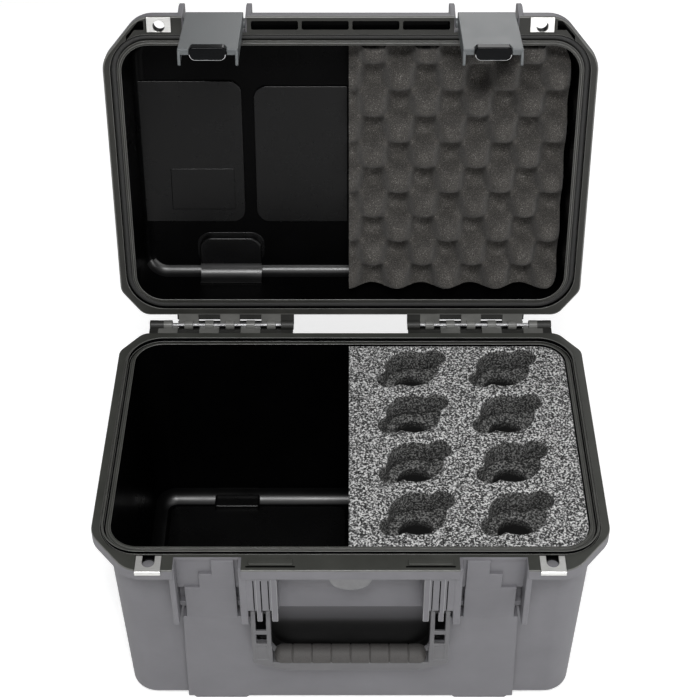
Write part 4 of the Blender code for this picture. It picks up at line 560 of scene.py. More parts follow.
# The recess's cut faces are painted in shade: grey under the flange, darkening to black towards the
# bottom behind the grip.
recess_painted_shade, tree, shader, place = new_finish("recess_painted_shade")
height = node(tree, "ShaderNodeSeparateXYZ", Vector=place).outputs["Z"]
drift = speckle(tree, place, 26.0, 5.0, 0.6)
fall = node(tree, "ShaderNodeMix", B=drift,
            A=span(tree, height, RIM - SHADE_END_DROP, RIM - SHADE_START_DROP, 0.0, 1.0))
fall.inputs["Factor"].default_value = 0.05
tree.links.new(ramp(tree, fall.outputs["Result"],
                    ((0.06, (0.002, 0.002, 0.002)), (0.20, (0.008, 0.008, 0.008)),
                     (0.40, (0.044, 0.043, 0.046)), (0.95, (0.078, 0.077, 0.082)))),
               shader.inputs["Base Color"])
tree.links.new(span(tree, drift, 0.3, 0.7, 0.48, 0.60), shader.inputs["Roughness"])
pebble = speckle(tree, place, 1400.0, 2.0)
pebbled(tree, shader, pebble, 0.00006, 0.8)
tune(shader, Specular_IOR_Level=0.25)

top = RIM - PANEL_TOP_DROP
bend = FOOT_HEIGHT + BASE_BOTTOM_RADIUS
profile = [(wall_front(top) + WALL / 2, top), (panel_front(top), top),
           (panel_front(FOOT_HEIGHT), FOOT_HEIGHT),
           (wall_front(FOOT_HEIGHT) + BASE_BOTTOM_RADIUS, FOOT_HEIGHT),
           (wall_front(FOOT_HEIGHT) + BASE_BOTTOM_RADIUS, FOOT_HEIGHT + WALL / 2),
           (wall_front(bend) + WALL / 2, bend)]
opening = rounded(-RECESS_HALF, RECESS_HALF, RIM - RECESS_BOTTOM_DROP,
                  top + RECESS_RADIUS + OVERRUN, RECESS_RADIUS, 12)
ends = [[(side * (PANEL_HALF - PANEL_END_TAPER * (z - FOOT_HEIGHT) / (top - FOOT_HEIGHT)), y, z)
         for y, z in profile] for side in (-1, 1)]
recess = loft([[(x, wall_front(z) - GAP, z) for x, z in opening],
               [(x, FRONT, z) for x, z in opening]])
tools = [finished(recess, recess_painted_shade)]
# Black pockets in the panel behind the handle's arms: painted shade seen through the arms'
# openings.
for side in (1, -1):
    low, high = both_sides(ARM_SHADOW_START + 2 * OVERRUN, ARM_SHADOW_END - 4 * OVERRUN, side)
    hollow = block((low, FRONT, RIM - ARM_SHADOW_END_DROP),
                   (high, FRONT + PANEL_TOP_MARGIN + ARM_SHADOW_DEPTH, top + OVERRUN))
    tools.append(finished(hollow, inner_shade_black))
panel = cut(finished(loft(ends), outer_grey, recess_painted_shade, inner_shade_black), tools)
panel.name = "front_panel"
put_on(soften(panel, 0.0009, 3), "base", (outer_grey,))

# Two latch bays, each between a pair of ribs that grow out of the wall: the keepers that the latch
# hooks catch under, and a pad that runs down into the panel, with a rest above it that rises in two
# steps towards the handle. All of it is moulded with the base.
RIB = 0.0049
RIB_MARGIN = 0.0022
RIB_DROP = 0.076
KEEPER_UNDERSIDE = 0.0715
KEEPER_HEIGHT = 0.006
KEEPER_MARGIN = 0.0203
PAD_WIDTH = 0.0452
INNER_RIB_EXTRA = 0.0017
PAD_DROP = 0.040
BAY_BACK_MARGIN = 0.0172
STEP_END, STEP_DROP = 0.0092, 0.0214
TAB_END, TAB_DROP = -0.0024, 0.0032
TAB_MARGIN = 0.0136


def on_wall(low, high, bottom, top, margin):
    """A pad that grows out of the front wall to a face at a margin behind the flange."""
    outline = [(low, bottom), (high, bottom), (high, top), (low, top)]
    return loft([[(x, wall_front(z) + WALL / 2, z) for x, z in outline],
                 [(x, FRONT + margin, z) for x, z in outline]])


bottom = RIM - RIB_DROP
front = FRONT + RIB_MARGIN
behind = FRONT + BAY_CUT_MARGIN + SHARE
under = RIM - (GROOVE_DEPTH + LAND_THICKNESS) / 2
rib_outline = ([(wall_front(bottom) + WALL / 2, bottom - RIB), (front + RIB, bottom - RIB / 2)]
               + [(front, bottom), (front, RIM - FLANGE_EDGE / 2), (behind, RIM - FLANGE_EDGE / 2),
                  (behind, under), (wall_front(under) + WALL / 2, under)])
bay_parts = []
for side in (1, -1):
    low, high = BAY_CENTRE - BAY_WIDTH / 2, BAY_CENTRE + BAY_WIDTH / 2
    for near, far in ((high, high + RIB), (low - RIB, low + INNER_RIB_EXTRA)):
        bay_parts.append(edged(prism(rib_outline, *both_sides(near, far, side), "YZ"), 0.0009))
    pad_low, pad_high = BAY_CENTRE - PAD_WIDTH / 2, BAY_CENTRE + PAD_WIDTH / 2
    keeper = RIM - KEEPER_UNDERSIDE
    for near, far in ((pad_high - OVERRUN, high + OVERRUN), (low - OVERRUN, pad_low + OVERRUN)):
        hold = on_wall(*both_sides(near, far, side), keeper, keeper + KEEPER_HEIGHT, KEEPER_MARGIN)
        bay_parts.append(soften(hold))
    top = RIM - PAD_DROP
    pad = on_wall(*both_sides(pad_low, pad_high, side), RIM - PANEL_TOP_DROP - SHARE, top,
                  PANEL_TOP_MARGIN)
    bay_parts.append(edged(pad, 0.0006))
    low, high = both_sides(low - OVERRUN, high + OVERRUN, side)
    bay_parts.append(on_wall(low, high, top - OVERRUN, RIM - LAND_THICKNESS / 2, BAY_BACK_MARGIN))
    for reach, foot, head, margin in (
            (STEP_END, top - OVERRUN, RIM - STEP_DROP, PANEL_TOP_MARGIN - GAP),
            (TAB_END, RIM - STEP_DROP - OVERRUN, RIM - TAB_DROP, TAB_MARGIN)):
        ends = both_sides(pad_low + GAP, BAY_CENTRE + reach, side)
        bay_parts.append(edged(on_wall(*ends, foot, head, margin), 0.0005))
put_on(gather("latch_bays", bay_parts), "base", (outer_grey, outer_edge_highlight))

# Handle bracket: on each side two lugs that hold the handle's pin and a web with three fine grooves
# between the latch bay and the recess, with a short bar standing on the flange above it.
BRACKET_INNER_END = 0.0636
WEB_DROP = 0.057
WEB_THICKNESS = 0.004
BRACKET_TOP_DROP = 0.007
LUG_DROP = 0.074
LUG_INNER_WIDTH = 0.0054
LUG_MIDDLE_START = 0.0774
LUG_MIDDLE_WIDTH = 0.0046
HANDLE_PIVOT_DROP = 0.066
HANDLE_PIVOT_MARGIN = 0.0095
HANDLE_PIN_RADIUS = 0.0022
POCKET_MARGIN = 0.0043
POCKET_WIDTH = 0.0082
LAND_BAR_LENGTH = 0.0385
LAND_BAR_WIDTH = 0.006
LAND_BAR_HEIGHT = 0.0022
GROOVE_PITCH_ON_WEB = 0.0065
FIRST_WEB_GROOVE = 0.0710
WEB_GROOVE_WIDTH = 0.0010
WEB_GROOVE_DEPTH = 0.0022
WEB_GROOVE_TOP = 0.0165


def start_tree(name, sizes):
    """A Geometry Nodes tree with a mesh coming in and named sizes; returns its two ends."""
    kinds = {float: "NodeSocketFloat", int: "NodeSocketInt", tuple: "NodeSocketVector",
             str: "NodeSocketMaterial"}
    tree = bpy.data.node_groups.new(name, "GeometryNodeTree")
    tree.interface.new_socket("Mesh", in_out="INPUT", socket_type="NodeSocketGeometry")
    for label, value in sizes.items():
        tree.interface.new_socket(label, in_out="INPUT", socket_type=kinds[type(value)])
    tree.interface.new_socket("Mesh", in_out="OUTPUT", socket_type="NodeSocketGeometry")
    return tree, tree.nodes.new("NodeGroupInput").outputs, tree.nodes.new("NodeGroupOutput").inputs


def end_tree(tree, ends, mesh, finish):
    """Every tree ends in real meshes with their finish set."""
    real = node(tree, "GeometryNodeRealizeInstances", Geometry=mesh).outputs["Geometry"]
    done = node(tree, "GeometryNodeSetMaterial", Geometry=real, Material=finish)
    tree.links.new(done.outputs["Geometry"], ends["Mesh"])


def grow(piece, tree, values):
    """Runs a tree on a piece with the given sizes and keeps the result as its mesh."""
    step = piece.modifiers.new(tree.name, "NODES")
    step.node_group = tree
    for item in tree.interface.items_tree:
        if item.in_out == "INPUT" and item.name in values:
            step[item.identifier] = values[item.name]
    return settle_mesh(piece)


row_tree, sizes, ends = start_tree("row_of_like_parts", {
    "Count": 1, "Step": (0, 0, 0), "Finish": ""})
line = node(row_tree, "GeometryNodeMeshLine", {"mode": "OFFSET"}, Count=sizes["Count"],
            Offset=sizes["Step"])
row = node(row_tree, "GeometryNodeInstanceOnPoints", Points=line.outputs["Mesh"],
           Instance=sizes["Mesh"])
end_tree(row_tree, ends, row.outputs["Instances"], sizes["Finish"])


def in_a_row(part, count, step, finish):
    """Repeats a part at even steps."""
    return grow(part, row_tree, {"Count": count, "Step": step, "Finish": finish})


BRACKET_SKINS = (outer_grey, outer_edge_highlight, deep_shade_black)


def web_grooves(side):
    """Three fine upright grooves, as a tool."""
    low, high = around(FIRST_WEB_GROOVE, WEB_GROOVE_WIDTH, side)
    groove = block((low, FRONT - OVERRUN, RIM - WEB_DROP - OVERRUN),
                   (high, FRONT + RIB_MARGIN + GAP + WEB_GROOVE_DEPTH, RIM - WEB_GROOVE_TOP))
    # The grooves' walls take the near-black finish: painted shade.
    return in_a_row(groove, 3, (side * GROOVE_PITCH_ON_WEB, 0, 0), deep_shade_black)


bottom = RIM - LUG_DROP
front = FRONT + RIB_MARGIN
top = RIM - BRACKET_TOP_DROP / 2
lug_outline = [(wall_front(bottom) + WALL / 2, bottom), (front + RIB / 2, bottom),
               (front, bottom + RIB / 2), (front, top), (wall_front(top) + WALL / 2, top)]
pivot_y, pivot_z = FRONT + HANDLE_PIVOT_MARGIN, RIM - HANDLE_PIVOT_DROP
parts = []
for side in (1, -1):
    for near, width in ((BRACKET_INNER_END, LUG_INNER_WIDTH), (LUG_MIDDLE_START, LUG_MIDDLE_WIDTH)):
        low, high = both_sides(near, near + width, side)
        lug = finished(prism(lug_outline, low, high, "YZ"), *BRACKET_SKINS)
        bore = rod(low - OVERRUN, high + OVERRUN, pivot_y, pivot_z, HANDLE_PIN_RADIUS + GAP)
        # The pin bores are lined in near-black: painted shade.
        parts.append(cut(edged(lug, 0.0006), [finished(bore, deep_shade_black), web_grooves(side)]))
    low, high = both_sides(BRACKET_INNER_END + SHARE / 2, BAY_CENTRE - BAY_WIDTH / 2 - RIB / 2,
                           side)
    front = FRONT + RIB_MARGIN + GAP
    web = block((low, front, RIM - WEB_DROP), (high, front + WEB_THICKNESS, RIM - BRACKET_TOP_DROP))
    parts.append(cut(edged(finished(web, *BRACKET_SKINS), 0.0004), [web_grooves(side)]))
    low, high = around(BAR_CENTRE, LAND_BAR_LENGTH, side)
    near = FRONT + POCKET_MARGIN + (POCKET_WIDTH - LAND_BAR_WIDTH) / 2
    bar = prism(rounded(low, high, near, near + LAND_BAR_WIDTH, LAND_BAR_WIDTH / 4),
                RIM - SHARE, RIM + LAND_BAR_HEIGHT)
    put_on(edged(bar, 0.0008, 3), "base", (rim_dark, rim_edge_highlight))
    bar.name = "flange_bar_" + ("right" if side > 0 else "left")
put_on(gather("handle_bracket", parts), "base", BRACKET_SKINS)

# Hinge knuckles: wings that reach from both flanges to one steel rod on each side, each wing with
# a narrower barrel round the rod. Base and lid wings take turns along it, and a low guard on the
# base closes the gaps behind them.
HINGE_Y = BACK + 0.0111
LID_GAP = 0.0006
HINGE_Z = RIM + LID_GAP / 2
LID_RIM = RIM + LID_GAP
BARREL_RADIUS = 0.0048
HINGE_OUTER_END = 0.2005
FIRST_KNUCKLE = 0.1718
HINGE_PITCH = 0.0206
KNUCKLE_GAP = 0.0009
BARREL_WIDTH = 0.0086
HINGE_INNER_END = 0.0565
WING_HEIGHT = 0.0075
WING_STEP = 0.0006
GUARD = 0.0011
LID_ANGLE = math.radians(next(joint["range_deg"][1] for joint in frame["joints"]
                              if joint["name"] == "lid_hinge"))
hinge_place = Vector((0, HINGE_Y, HINGE_Z))
OPENED = (Matrix.Translation(hinge_place) @ Matrix.Rotation(-LID_ANGLE, 4, "X")
          @ Matrix.Translation(-hinge_place))


def knuckle(owner, low, high, barrel_low, barrel_high):
    """One wing with its barrel, for the base (0) or the lid (1)."""
    way = -1 if owner == 0 else 1
    root = BACK - SKIRT_THICKNESS / 2
    wing = [(root, HINGE_Z + way * WING_STEP), (HINGE_Y, HINGE_Z + way * WING_STEP),
            (HINGE_Y, HINGE_Z + way * BARREL_RADIUS),
            (HINGE_Y - BARREL_RADIUS, HINGE_Z + way * WING_HEIGHT),
            (root, HINGE_Z + way * WING_HEIGHT)]
    return gather("knuckle", [prism(wing, low, high, "YZ"),
                              rod(barrel_low, barrel_high, HINGE_Y, HINGE_Z, BARREL_RADIUS)])


hinge_dark = moulded("hinge_dark", (0.014, 0.014, 0.013), (0.021, 0.021, 0.019), 0.44, 0.030,
                     0.0007, 0.00004, 0.35)
for owner, body in ((0, "base"), (1, "lid")):
    parts = []
    for side in (1, -1):
        high = FIRST_KNUCKLE + HINGE_PITCH * (1 - owner)
        low = high - HINGE_PITCH
        middle = (low + high) / 2
        first = knuckle(owner, *both_sides(low + KNUCKLE_GAP / 2, high - KNUCKLE_GAP / 2, side),
                        *both_sides(middle - BARREL_WIDTH / 2, middle + BARREL_WIDTH / 2, side))
        parts.append(edged(in_a_row(first, 3, (-side * 2 * HINGE_PITCH, 0, 0), rim_dark),
                            0.0005))
        if owner == 0:
            ends = (high - SHARE, HINGE_OUTER_END)
        else:
            ends = (HINGE_INNER_END, FIRST_KNUCKLE - HINGE_PITCH * 5 + SHARE)
        ends = both_sides(*ends, side)
        parts.append(edged(knuckle(owner, *ends, ends[0] + GAP, ends[1] - GAP), 0.0005))
        way = -1 if owner == 0 else 1
        low, high = both_sides(HINGE_INNER_END + SHARE, FIRST_KNUCKLE + KNUCKLE_GAP, side)
        levels = sorted((HINGE_Z + way * 2 * WING_STEP, HINGE_Z + way * (WING_HEIGHT - WING_STEP)))
        parts.append(edged(block((low, BACK - SKIRT_THICKNESS / 2, levels[0]),
                                  (high, HINGE_Y - BARREL_RADIUS - WING_STEP, levels[1])), 0.0003))
        if owner == 0:
            outer = both_sides(FIRST_KNUCKLE + (HINGE_PITCH - BARREL_WIDTH) / 2,
                               HINGE_OUTER_END - GAP, side)
            parts.append(edged(rod(*outer, HINGE_Y, HINGE_Z, BARREL_RADIUS - GAP / 2), 0.0005))
            lip, shelf = HINGE_Y + BARREL_RADIUS + WING_STEP, HINGE_Z - WING_HEIGHT
            guard = prism([(BACK - SKIRT_THICKNESS / 2, shelf), (lip + GUARD, shelf),
                           (lip + GUARD, HINGE_Z + GAP), (lip, HINGE_Z + GAP), (lip, shelf + GUARD),
                           (BACK - SKIRT_THICKNESS / 2, shelf + GUARD)], low, high, "YZ")
            parts.append(edged(guard, 0.0003))
    put_on(gather(body + "_knuckles", parts), body, (hinge_dark, rim_edge_highlight),
           OPENED if owner else None)

# Shallow upper half of the case, moulded as the base is. Its flat rim carries the gasket channel,
# its front the ears that hold the latches and the pockets that take the bars on the base.
LID_HEIGHT = 0.053
LID_END_DRAFT = 0.004
LID_FRONT_DRAFT = 0.005
LID_TOP_RADIUS = 0.012
LID_CEILING_RADIUS = 0.010
SEAL_WIDTH = 0.006
SEAL_DROP = 0.003
SEAL_THICKNESS = 0.0026
POCKET_LENGTH = 0.0425
POCKET_DEPTH = 0.009
CORNER_POCKET = ((0.1868, 0), (0.1911, 0), (0.2033, 0.0142), (0.2033, 0.0185), (0.1953, 0.0085),
                 (0.1868, 0.0085))
LOCK_LID_FRONT = 0.001
LOCK_LID_BACK = 0.015
PIVOT_INSET = 0.0085
PIVOT_RISE = 0.007
LATCH_PIN_RADIUS = 0.0016
EAR_HEIGHT = 0.028
EAR_PROUD = 0.0045

lid_rim = moulded("lid_rim", (0.017, 0.017, 0.015), (0.025, 0.025, 0.022), 0.44, 0.030,
                  0.0007, 0.00004, 0.3)
LID_SKINS = (outer_grey, outer_edge_highlight, lid_rim, rim_edge_highlight, deep_shade_black, black_fillet)
lid_ceiling = LID_RIM + LID_HEIGHT - WALL
top = LID_RIM + LID_HEIGHT
rings = []
for sine, cosine in quarter(CORNER_STEPS):
    outline = opening_outline(WALL - LID_TOP_RADIUS * (1 - sine), LID_END_DRAFT, LID_FRONT_DRAFT)
    rings.append((outline, top - LID_TOP_RADIUS * (1 - cosine), GREY))
rings.append((opening_outline(WALL), LID_RIM + SKIRT_HEIGHT, GREY))
for sine, cosine in quarter(3):
    rings.append((flange_outline(FLANGE_EDGE * (1 - sine)),
                  LID_RIM + SKIRT_HEIGHT - FLANGE_EDGE * (1 - cosine), GREY))
for (sine, cosine), skin in zip(quarter(3), (GREY, RIM_EDGE, RIM_EDGE, RIM_EDGE)):
    rings.append((flange_outline(FLANGE_EDGE * (1 - cosine)), LID_RIM + FLANGE_EDGE * (1 - sine),
                  skin))
seat = GROOVE_START + SEAL_WIDTH
depth = SEAL_DROP + SEAL_THICKNESS + GAP
# The gasket channel's floor takes the near-black finish: painted shade.
for offset, rise in ((seat, 0), (seat, depth), (GROOVE_START, depth), (GROOVE_START, RIM_STEP),
                     (LIP_WIDTH, RIM_STEP), (LIP_WIDTH, 0), (0, 0)):
    rings.append((opening_outline(offset), LID_RIM + rise, BLACK if rise == depth else RIM_SKIN))
# The inside walls and ceiling take the near-black finish, painted shade, with the glossier copy on
# the fillet along the hinge side.
for step, (sine, cosine) in enumerate(quarter(CORNER_STEPS)):
    outline = opening_outline(-LID_CEILING_RADIUS * (1 - cosine), LID_END_DRAFT, LID_FRONT_DRAFT)
    rings.append((outline, lid_ceiling - LID_CEILING_RADIUS * (1 - sine),
                  FILLET if 0 < step < CORNER_STEPS else BLACK))
lid = shell_of(rings)
for face in lid.data.polygons:
    if face.material_index == FILLET and face.center.y < OPENING_BACK - 2 * LID_CEILING_RADIUS:
        face.material_index = BLACK
soften(finished(lid, *LID_SKINS), skin=RIM_EDGE)

for side in (1, -1):
    low, high = around(BAY_CENTRE, BAY_WIDTH, side, SHARE)
    tools = [block((low, FRONT - OVERRUN, LID_RIM - OVERRUN),
                   (high, FRONT + BAY_CUT_MARGIN, LID_RIM + SKIRT_HEIGHT + OVERRUN))]
    front = FRONT + POCKET_MARGIN
    for index in (0, 1):
        middle = side * POCKET_PITCH * (index + 0.5)
        tools.append(prism(rounded(middle - POCKET_LENGTH / 2, middle + POCKET_LENGTH / 2, front,
                                   front + POCKET_WIDTH, POCKET_WIDTH / 5),
                           LID_RIM - OVERRUN, LID_RIM + POCKET_DEPTH))
    corner = [(side * x, front + y) for x, y in CORNER_POCKET[::side]]
    tools.append(prism(corner, LID_RIM - OVERRUN, LID_RIM + POCKET_DEPTH))
    low, high = around(LOCK_CENTRE, LOCK_WIDTH, side, GAP)
    tools.append(block((low, FRONT + LOCK_LID_FRONT - GAP, LID_RIM - OVERRUN),
                       (high, FRONT + LOCK_LID_BACK + GAP, LID_RIM + LOCK_SHEET + 2 * GAP)))
    bore = circle((side * LOCK_CENTRE, FRONT + LOCK_HOLE_MARGIN), LOCK_HOLE_RADIUS + GAP)
    tools.append(prism(bore, LID_RIM - OVERRUN, LID_RIM + SKIRT_HEIGHT + OVERRUN))
    # The bar pockets, padlock seats and holes are lined in near-black: painted shade.
    cut(lid, tools[:1] + [finished(tool, deep_shade_black) for tool in tools[1:]])
lid.name = "lid_moulding"
put_on(lid, "lid", LID_SKINS, OPENED)
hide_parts("lid_shell")

ear = [(OPENING_FRONT - WALL / 8, LID_RIM + SKIRT_HEIGHT - OVERRUN),
       (FRONT + BAY_CUT_MARGIN + SHARE, LID_RIM + SKIRT_HEIGHT - OVERRUN),
       (FRONT + BAY_CUT_MARGIN + SHARE, LID_RIM + SHARE / 2),
       (FRONT + RIB_MARGIN / 4, LID_RIM + SHARE / 2),
       (FRONT - EAR_PROUD, LID_RIM + EAR_HEIGHT * 2 / 3),
       (FRONT - EAR_PROUD + SHARE, LID_RIM + EAR_HEIGHT - SHARE),
       (FRONT - EAR_PROUD + RIB, LID_RIM + EAR_HEIGHT + SHARE),
       (OPENING_FRONT - WALL / 8, LID_RIM + EAR_HEIGHT + RIB)]
ears = []
for side in (1, -1):
    for near in (BAY_CENTRE + BAY_WIDTH / 2, BAY_CENTRE - BAY_WIDTH / 2 - RIB):
        low, high = both_sides(near, near + RIB, side)
        bore = rod(low - OVERRUN, high + OVERRUN, FRONT + PIVOT_INSET, LID_RIM + PIVOT_RISE,
                   LATCH_PIN_RADIUS + GAP)
        ears.append(edged(cut(prism(ear, low, high, "YZ"), [bore]), 0.0006))
put_on(gather("latch_ears", ears), "lid", (outer_grey, outer_edge_highlight), OPENED)

# Raised fields moulded into the lid's ceiling to stiffen it, and the bulge beside the hinge. They
# show in the half that the foam leaves open.
FIELD_RISE = 0.0022
OUTER_FIELD_FRONT, CENTRE_FIELD_FRONT = 0.079, 0.0842
FIELD_BACK = 0.080
FIELD_OUTER, FIELD_INNER, FIELD_CENTRE = 0.2045, 0.104, 0.0928
FIELD_FOAM_GAP = 0.0008
FIELD_RADIUS = 0.0125
MARK_LEFT, MARK_RIGHT, MARK_FRONT, MARK_BACK = -0.1763, -0.1136, 0.0155, 0.0598
MARK_RISE = 0.0005
MARK_RADIUS = 0.0015
BULGE_INNER_END = 0.0893
BULGE_LENGTH = 0.0615
BULGE_REACH = 0.065
BULGE_RISE = 0.008
BULGE_RADIUS = 0.0120
BULGE_FOOT = 0.0030
BULGE_FILLET = 0.014

parts = []
low, high = FRONT + OUTER_FIELD_FRONT, BACK - FIELD_BACK
outlines = [([(-FIELD_OUTER, high), (-FIELD_OUTER, low)]
             + fillet((-FIELD_INNER, low), (1, 0), (0, 1), FIELD_RADIUS, 12)
             + fillet((-FIELD_INNER, high), (0, 1), (-1, 0), FIELD_RADIUS, 12), FIELD_RISE)]
low, end = FRONT + CENTRE_FIELD_FRONT, FOAM_INNER_END - FIELD_FOAM_GAP
outlines.append(([(end, low), (end, high)]
                 + fillet((-FIELD_CENTRE, high), (-1, 0), (0, -1), FIELD_RADIUS, 12)
                 + fillet((-FIELD_CENTRE, low), (0, -1), (1, 0), FIELD_RADIUS, 12), FIELD_RISE))
outlines.append((rounded(MARK_LEFT, MARK_RIGHT, MARK_FRONT, MARK_BACK, MARK_RADIUS),
                 FIELD_RISE + MARK_RISE))
left, right = -BULGE_INNER_END - BULGE_LENGTH, -BULGE_INNER_END
wall_y = OPENING_BACK - LID_FRONT_DRAFT
outlines.append((rounded(left - BULGE_FOOT, right + BULGE_FOOT, BACK - BULGE_REACH - BULGE_FOOT,
                         wall_y - LID_CEILING_RADIUS, BULGE_RADIUS + BULGE_FOOT / 2),
                 MARK_RISE * 2))
for outline, rise in outlines:
    parts.append(edged(prism(outline, lid_ceiling - rise, lid_ceiling + SHARE),
                        min(0.0011, rise * 0.8), 3))
bulge = prism(rounded(left, right, BACK - BULGE_REACH, wall_y + SHARE, BULGE_RADIUS, 12),
              lid_ceiling - BULGE_RISE, lid_ceiling + SHARE)
parts.append(edged(bulge, 0.0022, 4))
low = lid_ceiling - BULGE_RISE
profile = [(wall_y + SHARE, low - BULGE_FILLET), (wall_y + SHARE, low + SHARE),
           (wall_y - BULGE_FILLET, low + SHARE)]
for sine, cosine in quarter(12):
    profile.append((wall_y - BULGE_FILLET * (1 - sine), low - BULGE_FILLET * (1 - cosine)))
cove = prism(profile, left + GAP, right - GAP, "YZ")
for face in cove.data.polygons:
    face.material_index = 2
parts.append(cove)
# The fields, bulge and cove take the inside's near-black, painted shade, with painted highlights on
# their edges.
put_on(gather("lid_fields", parts), "lid", (inner_shade_black, black_edge_highlight, black_fillet),
       OPENED)

# Steel rods: the two hinge rods, the handle's pins, the latches' pins and the triggers' pins are
# cut from drawn stainless rod, and their ends show a little inside their bores.
drawn, tree, shader, place = new_finish("drawn_rod")
lines = node(tree, "ShaderNodeMapping", Vector=place,
             Scale=(60.0, 2600.0, 2600.0)).outputs["Vector"]
draw = speckle(tree, lines, 1.0, 3.0)
tree.links.new(ramp(tree, draw, ((0.3, (0.36, 0.36, 0.365)), (0.7, (0.52, 0.52, 0.53)))),
               shader.inputs["Base Color"])
tree.links.new(span(tree, draw, 0.3, 0.7, 0.24, 0.38), shader.inputs["Roughness"])
pebbled(tree, shader, draw, 0.00002, 0.6)
tune(shader, Metallic=1.0)
# The handle's pins take a near-black finish: painted shade for the dark slots between the prongs.
blued = moulded("blued_rod", (0.010, 0.010, 0.011), (0.018, 0.018, 0.019), 0.42, 0.008,
                0.0005, 0.00001)
for name, thing in frame["nodes"].items():
    if "_pin_" in name:
        thing.data.materials.clear()
        finished(thing, blued if "handle" in name else drawn)

# Gasket: a hollow rubber cord laid in the lid's channel, its closed ring pressed on the base's
# tongue when the case is shut.
rubber, tree, shader, place = new_finish("gasket_rubber")
dust = speckle(tree, place, 900.0, 4.0)
tree.links.new(ramp(tree, dust, ((0.35, (0.012, 0.012, 0.012)), (0.75, (0.034, 0.034, 0.033)))),
               shader.inputs["Base Color"])
tree.links.new(span(tree, dust, 0.3, 0.7, 0.55, 0.75), shader.inputs["Roughness"])
pebbled(tree, shader, dust, 0.00005, 0.7)
near, far = GROOVE_START + GAP, GROOVE_START + SEAL_WIDTH - GAP
low, high = LID_RIM + SEAL_DROP, LID_RIM + SEAL_DROP + SEAL_THICKNESS
section = [(near, high)]
for step in range(9):
    angle = math.pi * step / 8
    section.append(((near + far) / 2 - (far - near) / 2 * math.cos(angle),
                    high - SEAL_THICKNESS * (0.35 + 0.65 * math.sin(angle))))
section.append((far, high))
form = bmesh.new()
rings = [[form.verts.new((x, y, z)) for x, y in opening_outline(offset)] for offset, z in section]
for lower, upper in zip(rings, rings[1:] + rings[:1]):
    for here in range(len(lower)):
        after = (here + 1) % len(lower)
        form.faces.new((lower[here], lower[after], upper[after], upper[here]))
gasket = put_on(new_piece("gasket", form), "lid", (rubber,), OPENED)
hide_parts("lid_gasket")

# Padlock plates: stainless sheet let into both flanges. The base's pair has an open slot and a lip
# folded down over the front edge; the lid's pair is flat with a round hole.
LOCK_LIP = 0.0042
FOLD_RADIUS = 0.0014

steel, tree, shader, place = new_finish("brushed_sheet")
lines = node(tree, "ShaderNodeMapping", Vector=place,
             Scale=(120.0, 3200.0, 3200.0)).outputs["Vector"]
brush = speckle(tree, lines, 1.0, 4.0)
tree.links.new(ramp(tree, brush, ((0.3, (0.74, 0.735, 0.715)), (0.7, (0.88, 0.875, 0.855)))),
               shader.inputs["Base Color"])
tree.links.new(span(tree, brush, 0.3, 0.7, 0.30, 0.46), shader.inputs["Roughness"])
pebbled(tree, shader, brush, 0.00002, 0.7)
tune(shader, Metallic=0.9)

for side, word in ((-1, "left"), (1, "right")):
    low, high = around(LOCK_CENTRE, LOCK_WIDTH, side)
    x, y = side * LOCK_CENTRE, FRONT + LOCK_HOLE_MARGIN
    top = RIM - GAP / 2
    under = top - LOCK_SHEET
    skin = FRONT - GAP
    outer = skin - LOCK_SHEET
    profile = [(FRONT + LOCK_BASE_BACK, under), (FRONT + LOCK_BASE_BACK, top)]
    for sine, cosine in quarter(6):
        profile.append((outer + FOLD_RADIUS * (1 - sine), top - FOLD_RADIUS * (1 - cosine)))
    profile += [(outer, top - LOCK_LIP), (skin, top - LOCK_LIP), (skin, under)]
    plate = prism(profile, low, high, "YZ")
    slot = block((x - LOCK_HOLE_RADIUS, y, under - OVERRUN),
                 (x + LOCK_HOLE_RADIUS, y + LOCK_WIDTH, top + OVERRUN))
    cut(plate, [prism(circle((x, y), LOCK_HOLE_RADIUS, 40), under - OVERRUN, top + OVERRUN), slot])
    plate.name = "padlock_plate_" + word
    put_on(soften(plate, 0.0003, 2), "base", (steel,))
    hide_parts("padlock_plate_base_" + word)
    plate = block((low, FRONT + LOCK_LID_FRONT, LID_RIM + GAP / 2),
                  (high, FRONT + LOCK_LID_BACK, LID_RIM + LOCK_SHEET + GAP / 2))
    cut(plate, [prism(circle((x, y), LOCK_HOLE_RADIUS, 40), LID_RIM - OVERRUN,
                      LID_RIM + LOCK_SHEET + OVERRUN)])
    plate.name = "lid_padlock_plate_" + word
    put_on(soften(plate, 0.0003, 2), "lid", (steel,), OPENED)
    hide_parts("padlock_plate_lid_" + word)

# Latches: moulded nylon plates that swing on a pin between the lid's ears. Two cheeks end in hooks
# that snap under the keepers, and a notch in the free end holds the release trigger.
LATCH_WIDTH = 0.052
LATCH_LENGTH = 0.076
LATCH_PLATE = 0.003
LATCH_END_THICKNESS = 0.0058
LATCH_END_HEIGHT = 0.003
LATCH_CHEEK = 0.0024
LATCH_DEPTH = 0.0128
LATCH_PROUD = 0.001
LATCH_BARREL = 0.0045
NOTCH_RADIUS = 0.0026
LATCH_LEAN = math.radians(3.1)
HOOK_DROP = 0.0736
HOOK_HEIGHT = 0.004
HOOK_NOSE = 0.0029
TRIGGER_WIDTH = 0.0318
TRIGGER_TOP_DROP = 0.0702
TRIGGER_PIVOT_DROP = 0.050
TRIGGER_PIVOT_INSET = 0.007
TRIGGER_PIN = 0.0012

latch_grey = moulded("latch_grey", (0.088, 0.095, 0.099), (0.108, 0.117, 0.121), 0.38, 0.020,
                     0.0006, 0.00002)
# Painted highlight: a pale copy of the latch grey for its rounded edges.
latch_edge_highlight = moulded("latch_edge_highlight", (0.30, 0.31, 0.32), (0.38, 0.39, 0.40), 0.30, 0.015,
                     0.0006, 0.00002)


